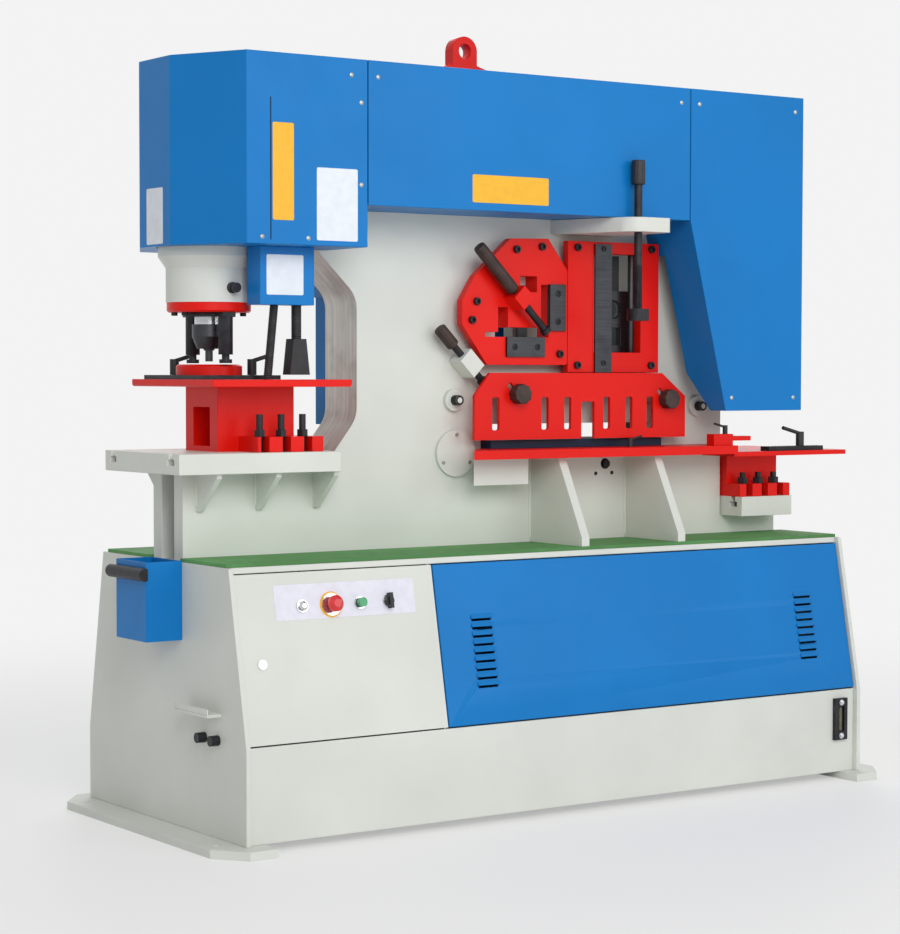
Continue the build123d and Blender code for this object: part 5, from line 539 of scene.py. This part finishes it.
def grip(radius, length, flutes, depth):
    """Fluted grip along Z with rounded shoulders; each shoulder is a quarter ellipse."""
    quarter = np.linspace(0, np.pi / 2, 6)
    low = np.column_stack([radius * (0.86 + 0.14 * np.sin(quarter)), length * 0.06 * (1 - np.cos(quarter))])
    high = np.column_stack([low[::-1, 0], length - low[::-1, 1]])
    profile = np.concatenate([[[0.0, 0.0]], low, high, [[0.0, length]]])
    return turned(profile, 84, flutes, depth)


def grips_and_knobs():
    """Fluted grips on the clamp screws and the spindle, and star knobs on the guard."""
    long_grip = grip(GRIP_RADIUS, ANGLE_GRIP_LENGTH, GRIP_FLUTES, GRIP_FLUTE_DEPTH)
    piece("angle_clamp_grip", [stood(long_grip, ANGLE_SCREW_PLACE - ANGLE_GRIP_BACK * LEAN_AXIS, LEAN_AXIS)],
          BROWN_GRIP, "angle_screw")
    short_grip = grip(GRIP_RADIUS, FLAT_GRIP_LENGTH, GRIP_FLUTES, GRIP_FLUTE_DEPTH)
    piece("flat_clamp_grip", [stood(short_grip, FLAT_SCREW_PLACE - FLAT_GRIP_BACK * LEAN_AXIS, LEAN_AXIS)],
          BROWN_GRIP, "flat_screw")
    top_grip = grip(SPINDLE_GRIP_RADIUS, SPINDLE_GRIP_LENGTH, GRIP_FLUTES, GRIP_FLUTE_DEPTH)
    piece("section_spindle_grip", [stood(top_grip, SPINDLE_PLACE, UP)], BLACK_PLASTIC, "section_screw")
    for body, (across, up) in KNOB_PLACES.items():
        star = grip(KNOB_RADIUS, KNOB_LENGTH, KNOB_FLUTES, KNOB_FLUTE_DEPTH)
        piece("guard_" + body + "_star", [stood(star, (across, KNOB_SEAT_Y, up), -AWAY)], BROWN_GRIP, body)


# Thread on the section spindle

THREAD_PITCH = 0.0030
THREAD_DEPTH = 0.0005
THREAD_FOOT = (0.256, -0.285, 1.2355)
THREAD_LENGTH = 0.108
THREAD_RADIUS = 0.0106


def thread(start, axis, length, radius):
    """Screw thread: at turn t and height h the radius is radius + depth cos(2 pi h / pitch - t)."""
    rows = int(length / THREAD_PITCH) * 6
    steps = ROUND_STEPS
    turn = np.linspace(0, 2 * np.pi, steps, endpoint=False)[None, :]
    height = np.linspace(0, length, rows)[:, None]
    swell = radius + THREAD_DEPTH * np.cos(2 * np.pi * height / THREAD_PITCH - turn)
    points = np.stack([swell * np.cos(turn), swell * np.sin(turn), height + 0 * turn], axis=-1)
    ends = [np.tile([0.0, 0.0, level], (1, steps, 1)) for level in (0.0, length)]
    whole = np.concatenate([ends[0], points, ends[1]])
    return stood((whole.reshape(-1, 3), ring_faces(len(whole), steps)), start, axis)


def spindle_thread():
    """Dark thread on the section spindle."""
    screw = thread(THREAD_FOOT, UP, THREAD_LENGTH, THREAD_RADIUS)
    piece("spindle_thread", [screw], BLACK_STEEL, "section_screw")


# Punch fittings, lamp, gauge and other small trim

PUNCH_X = -0.811
FLANGE_LOW_Z = 1.215
FLANGE_SCREW_RING = 0.082
FLANGE_SCREW_COUNT = 10
FLANGE_SCREW_RADIUS = 0.0075
FLANGE_SCREW_HEIGHT = 0.008
FLANGE_SIDE_SHARE = 0.62
PORT_PLACE = (-0.806, -0.099, 1.271)
PORT_PROFILE = ((0, -0.004), (0.013, -0.004), (0.013, 0.010), (0.009, 0.011), (0.009, 0.018),
                (0.0115, 0.019), (0.0115, 0.027), (0, 0.027))
BREATHER_PROFILE = ((0, -0.006), (0.007, -0.006), (0.007, 0.006), (0.0045, 0.008), (0.0045, 0.014),
                    (0, 0.016))
BREATHER_PLACE = (-0.898, -0.052, 1.352)
CONDUIT_TOP = np.array([-0.7230, -0.153, 1.2305])
CONDUIT_FOOT = np.array([-0.7410, -0.153, 1.0585])
CONDUIT_RADIUS = 0.0097
LAMP_TOP = np.array([-0.663, -0.153, 1.2305])
LAMP_NECK_LOW = np.array([-0.663, -0.153, 1.154])
LAMP_NECK_RADIUS = 0.0117
BELLOWS_PITCH = 0.0050
BELLOWS_SWELL = 0.0006
STOP_PLACE = (-0.673, 0.312)
STOP_RING = 0.0300
STOP_BEZEL = 0.0262
STOP_RING_THICKNESS = 0.0018
STOP_RING_EDGE = 0.0006
GAUGE_X = 0.871
GAUGE_SPAN = (0.131, 0.191)
GAUGE_TUBE_RADIUS = 0.0046
GAUGE_TUBE_OUT = 0.0045
GAUGE_NUT_HEIGHTS = (0.117, 0.205)
GAUGE_NUT_OUT = 0.010
GAUGE_NUT_RADIUS = 0.0062
GAUGE_NUT_LENGTH = 0.005
SEAM_PLACE = (-0.795, COVER_FACE_Y, 1.537)
SEAM_WIDTH = 0.003
SEAM_LENGTH = 0.322
SEAM_CORNER = 0.0012


def punch_fittings():
    """Flange screws, a hose port and a breather on the punch cylinder."""
    turns = np.linspace(0, 2 * np.pi, FLANGE_SCREW_COUNT, endpoint=False) + np.pi / FLANGE_SCREW_COUNT
    seats = [(PUNCH_X + FLANGE_SCREW_RING * np.cos(turn), FLANGE_SCREW_RING * np.sin(turn), FLANGE_LOW_Z)
             for turn in turns if abs(np.cos(turn)) > FLANGE_SIDE_SHARE]
    screws = [socket_screw(seat, -UP, FLANGE_SCREW_RADIUS, FLANGE_SCREW_HEIGHT) for seat in seats]
    piece("flange_screws", screws, BLACK_STEEL, "machine")
    port = stood(turned(PORT_PROFILE), PORT_PLACE, -AWAY)
    breather = stood(turned(BREATHER_PROFILE), BREATHER_PLACE, -AWAY - RIGHT)
    piece("cylinder_ports", [port, breather], BLACK_STEEL, "machine")


def lamp_bellows():
    """Corrugated skins on the conduit and the lamp neck."""
    skins = [sleeve(CONDUIT_FOOT, CONDUIT_TOP, CONDUIT_RADIUS, BELLOWS_PITCH, BELLOWS_SWELL),
             sleeve(LAMP_NECK_LOW, LAMP_TOP, LAMP_NECK_RADIUS, BELLOWS_PITCH, BELLOWS_SWELL)]
    piece("lamp_bellows", skins, BLACK_PLASTIC, "machine")


def stop_ring():
    """Yellow ring round the emergency stop's bezel."""
    flat = turned([(STOP_BEZEL, 0), (STOP_RING, 0), (STOP_RING, STOP_RING_THICKNESS - STOP_RING_EDGE),
                   (STOP_RING - STOP_RING_EDGE, STOP_RING_THICKNESS), (STOP_BEZEL, STOP_RING_THICKNESS),
                   (STOP_BEZEL, 0)])
    place = front_place(STOP_PLACE[0], STOP_PLACE[1], PAN_PROUD + CONTROL_PLATE_THICKNESS - SINK)
    piece("stop_ring", [stood(flat, place, SLOPE_OUT)], YELLOW_PLATE, "door")


def gauge_tube():
    """Glass tube with end nuts in the oil gauge's window."""
    place = LOWER_FRONT_Y - GAUGE_TUBE_OUT
    tube = turned([(0, 0), (GAUGE_TUBE_RADIUS, 0), (GAUGE_TUBE_RADIUS, GAUGE_SPAN[1] - GAUGE_SPAN[0]),
                   (0, GAUGE_SPAN[1] - GAUGE_SPAN[0])])
    glass = stood(tube, (GAUGE_X, place, GAUGE_SPAN[0]), UP)
    piece("gauge_tube", [glass], OIL_GLASS, "machine")
    nuts = [shape for up in GAUGE_NUT_HEIGHTS
            for shape in hex_head((GAUGE_X, LOWER_FRONT_Y - GAUGE_NUT_OUT, up), -AWAY, GAUGE_NUT_RADIUS,
                                  GAUGE_NUT_LENGTH)]
    piece("gauge_bolts", nuts, CHROME, "machine")


WELD_RADIUS = 0.0040
GUSSET_FACES_X = (0.077, 0.101, 0.387, 0.411)
GUSSET_SPAN_Z = (0.652, 0.858)
SHELF_RIB_FACES_X = (-0.886, -0.872, -0.728, -0.714)
SHELF_RIB_SPAN_Z = (0.762, 0.838)


def weld_beads():
    """Weld beads where gussets and shelf ribs meet the frame plate."""
    lines = [((x, FRAME_FACE_Y, GUSSET_SPAN_Z[0]), (x, FRAME_FACE_Y, GUSSET_SPAN_Z[1]))
             for x in GUSSET_FACES_X]
    lines += [((x, FRAME_FACE_Y, SHELF_RIB_SPAN_Z[0]), (x, FRAME_FACE_Y, SHELF_RIB_SPAN_Z[1]))
              for x in SHELF_RIB_FACES_X]
    beads = [bead(start, end, WELD_RADIUS) for start, end in lines]
    piece("weld_beads", beads, WHITE_ENAMEL, "machine")


def cover_seam():
    """Narrow joint strip down the head cover."""
    strip = plate(SEAM_WIDTH, SEAM_LENGTH, SINK, SEAM_CORNER)
    piece("cover_seam", [stood(strip, SEAM_PLACE, -AWAY, RIGHT)], NAVY_ENAMEL, "machine")


# Throat edge and cable hook

FRAME_HALF = 0.073
THROAT_CORNERS = np.array([(-0.543, 0.841), (-0.445, 0.965), (-0.445, 1.258), (-0.556, 1.366)])
THROAT_RADIUS = 0.070
THROAT_PROUD = 0.0004
THROAT_INSET = 0.0015
HOOK_BOXES = (((-0.9755, -0.280, 0.300), (-0.9355, -0.130, 0.306)),
              ((-0.9755, -0.280, 0.3069), (-0.9695, -0.130, 0.318)))
HOOK_SKIN = 0.0004
HOOK_CORNER = 0.002


def rounded_path(corners, radius, steps=10):
    """Points along straight runs whose inner corners are arcs of one radius, tangent to both runs."""
    path = [corners[0]]
    for before, corner, after in zip(corners, corners[1:], corners[2:]):
        back = (before - corner) / np.linalg.norm(before - corner)
        ahead = (after - corner) / np.linalg.norm(after - corner)
        half = math.acos(np.clip(np.dot(back, ahead), -1, 1)) / 2
        middle = (back + ahead) / np.linalg.norm(back + ahead)
        centre = corner + middle * radius / math.sin(half)
        start = corner + back * radius / math.tan(half) - centre
        end = corner + ahead * radius / math.tan(half) - centre
        sweep = math.pi - 2 * half
        for share in np.linspace(0, 1, steps):
            weights = math.sin((1 - share) * sweep) * start + math.sin(share * sweep) * end
            path.append(centre + weights / math.sin(sweep))
    return np.array(path + [corners[-1]])


def throat_skin():
    """Bare machined edge of the throat: a thin band along its rounded outline, as wide as the frame."""
    path = rounded_path(THROAT_CORNERS, THROAT_RADIUS)
    run = np.gradient(path, axis=0)
    normal = np.stack([-run[:, 1], run[:, 0]], axis=1) / np.linalg.norm(run, axis=1)[:, None]
    wide = FRAME_HALF - THROAT_INSET
    rows = []
    for point, out in zip(path, normal):
        proud = point + out * THROAT_PROUD
        buried = point - out * THROAT_PROUD
        rows.append([(proud[0], -wide, proud[1]), (proud[0], wide, proud[1]),
                     (buried[0], wide, buried[1]), (buried[0], -wide, buried[1])])
    rows = np.array(rows)
    ends = [np.repeat(row.mean(axis=0)[None], 4, axis=0) for row in (rows[0], rows[-1])]
    rings = np.concatenate([ends[:1], rows, ends[1:]])
    band = (rings.reshape(-1, 3), ring_faces(len(rings), 4))
    piece("throat_skin", [band], MACHINED_EDGE, "machine")


def hook_paint():
    """Painted skin on the cable hook's shelf and lip."""
    skins = []
    for low, high in HOOK_BOXES:
        size = np.subtract(high, low) + 2 * HOOK_SKIN
        centre = np.add(low, high) / 2
        base = centre - UP * size[2] / 2
        skins.append(stood(plate(size[0], size[1], size[2], HOOK_CORNER), base, UP, RIGHT))
    piece("hook_paint", skins, WHITE_ENAMEL, "machine")


# Broken edges on the plates and castings

EDGE_WIDTHS = {
    "base_cabinet end_plates electric_door louvre_panel tool_bin switch_box": 0.0015,
    "head_cover middle_cover right_cover": 0.0020,
    "foot_rails slotted_shelf frame_front_plate frame_rear_plate frame_stiffeners lifting_lug": 0.0020,
    "punch_table die_pedestal angle_housing section_frame flat_guard cut_table notch_block flat_bed": 0.0014,
    "gauge_plate notch_fence fixed_blades stripper_fork work_lamp deck_mat": 0.0008,
}
EDGE_ANGLE = 40


def break_edges():
    """Weld each node's loose triangles and bevel its sharp edges."""
    for names, width in EDGE_WIDTHS.items():
        for name in names.split():
            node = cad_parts[name]
            weld = node.modifiers.new("weld", "WELD")
            weld.merge_threshold = 0.00002
            flat = node.modifiers.new("flat", "DECIMATE")
            flat.decimate_type = "DISSOLVE"
            flat.angle_limit = math.radians(0.4)
            edge = node.modifiers.new("edge", "BEVEL")
            edge.width = width
            edge.segments = 2
            edge.limit_method = "ANGLE"
            edge.angle_limit = math.radians(EDGE_ANGLE)
            edge.harden_normals = True
            edge.use_clamp_overlap = True


# Studio

FLOOR_HALF = 12.0
CAMERA_PLACE = (-3.5596, -4.9938, 1.0768)
CAMERA_YAW = 0.6031
CAMERA_PITCH = 0.0474
CAMERA_ROLL = -0.0014
CAMERA_LENS = 92.49
CAMERA_SHIFT_Y = 0.0198
LAMPS = (("key_lamp", (-2.4, -5.6, 3.6), 3.2, 180.0), ("front_lamp", (2.2, -5.4, 2.4), 3.0, 55.0),
         ("rear_lamp", (2.6, 3.8, 3.6), 2.8, 80.0))
LAMP_TARGET = np.array([0.0, 0.0, 0.9])
WORLD_LIGHT = 0.44
BACKDROP = linear("F3F3F3")
FLOOR_PALE = BACKDROP
FLOOR_FADE = (1.3, 4.5, 0.45, 1.0)


def seen_directly(tree):
    """Output that is one for camera, mirror and glass rays."""
    path = tree.nodes.new("ShaderNodeLightPath")
    total = path.outputs["Is Camera Ray"]
    for other in ("Is Glossy Ray", "Is Transmission Ray"):
        add = tree.nodes.new("ShaderNodeMath")
        add.operation = "MAXIMUM"
        tree.links.new(total, add.inputs[0])
        tree.links.new(path.outputs[other], add.inputs[1])
        total = add.outputs[0]
    return total


def studio_world():
    """Soft grey light from all round, with a pale backdrop where the world is seen."""
    world = bpy.data.worlds.new("studio")
    bpy.context.scene.world = world
    world.use_nodes = True
    tree = world.node_tree
    light = tree.nodes["Background"]
    light.inputs["Color"].default_value = (1.0, 1.0, 1.0, 1.0)
    light.inputs["Strength"].default_value = WORLD_LIGHT
    pale = tree.nodes.new("ShaderNodeBackground")
    pale.inputs["Color"].default_value = BACKDROP
    mix = tree.nodes.new("ShaderNodeMixShader")
    tree.links.new(seen_directly(tree), mix.inputs["Fac"])
    tree.links.new(light.outputs["Background"], mix.inputs[1])
    tree.links.new(pale.outputs["Background"], mix.inputs[2])
    tree.links.new(mix.outputs["Shader"], tree.nodes["World Output"].inputs["Surface"])


def floor():
    """Pale floor with a faint mottle, seen a little lighter than lit and fading to the backdrop far off."""
    mesh = bpy.data.meshes.new("floor")
    half = FLOOR_HALF
    corners = [(-half, -half, 0), (half, -half, 0), (half, half, 0), (-half, half, 0)]
    mesh.from_pydata(corners, [], [(0, 1, 2, 3)])
    finish = Finish("floor", 0.55)
    tone = linear("F4F4F3")
    finish.colour(finish.ramp(finish.noise(0.8, 3.0), 0.3, 0.7, shade(tone, 0.985), shade(tone, 1.0)))
    finish.roughness(finish.noise(6.0, 3.0), 0.5, 0.65)
    tree = finish.tree
    pale = finish.add("ShaderNodeEmission")
    pale.inputs["Color"].default_value = FLOOR_PALE
    far = finish.add("ShaderNodeVectorMath", operation="LENGTH")
    finish.link(finish.place, far.inputs[0])
    fade = finish.add("ShaderNodeMapRange", interpolation_type="SMOOTHSTEP")
    for key, value in zip(("From Min", "From Max", "To Min", "To Max"), FLOOR_FADE):
        fade.inputs[key].default_value = value
    finish.link(far.outputs["Value"], fade.inputs["Value"])
    seen = finish.add("ShaderNodeMath", operation="MULTIPLY")
    finish.link(fade.outputs["Result"], seen.inputs[0])
    finish.link(seen_directly(tree), seen.inputs[1])
    mix = finish.add("ShaderNodeMixShader")
    finish.link(seen.outputs["Value"], mix.inputs["Fac"])
    finish.link(finish.shader.outputs["BSDF"], mix.inputs[1])
    finish.link(pale.outputs["Emission"], mix.inputs[2])
    finish.link(mix.outputs["Shader"], tree.nodes["Material Output"].inputs["Surface"])
    mesh.materials.append(finish.material)
    made = bpy.data.objects.new("floor", mesh)
    bpy.context.scene.collection.objects.link(made)


def studio_lamps():
    """Large soft lamps aimed at the machine."""
    for name, place, size, power in LAMPS:
        lamp = bpy.data.lights.new(name, "AREA")
        lamp.size = size
        lamp.energy = power
        made = bpy.data.objects.new(name, lamp)
        made.location = place
        aim = np.array(place) - LAMP_TARGET
        tilt = math.acos(aim[2] / np.linalg.norm(aim))
        made.rotation_euler = (tilt, 0.0, math.atan2(aim[1], aim[0]) + math.pi / 2)
        bpy.context.scene.collection.objects.link(made)


def camera():
    """Camera at the photograph's place and angle."""
    lens = bpy.data.cameras.new("camera")
    lens.lens = CAMERA_LENS
    lens.shift_y = CAMERA_SHIFT_Y
    made = bpy.data.objects.new("camera", lens)
    made.location = CAMERA_PLACE
    made.rotation_mode = "XYZ"
    made.rotation_euler = (math.pi / 2 - CAMERA_PITCH, CAMERA_ROLL, -CAMERA_YAW)
    bpy.context.scene.collection.objects.link(made)
    bpy.context.scene.camera = made


finish_nodes()
break_edges()
station_fasteners()
bare_plates()
grips_and_knobs()
spindle_thread()
punch_fittings()
lamp_bellows()
stop_ring()
gauge_tube()
weld_beads()
cover_seam()
throat_skin()
hook_paint()
studio_world()
floor()
studio_lamps()
camera()
bpy.context.scene.view_settings.view_transform = "Standard"
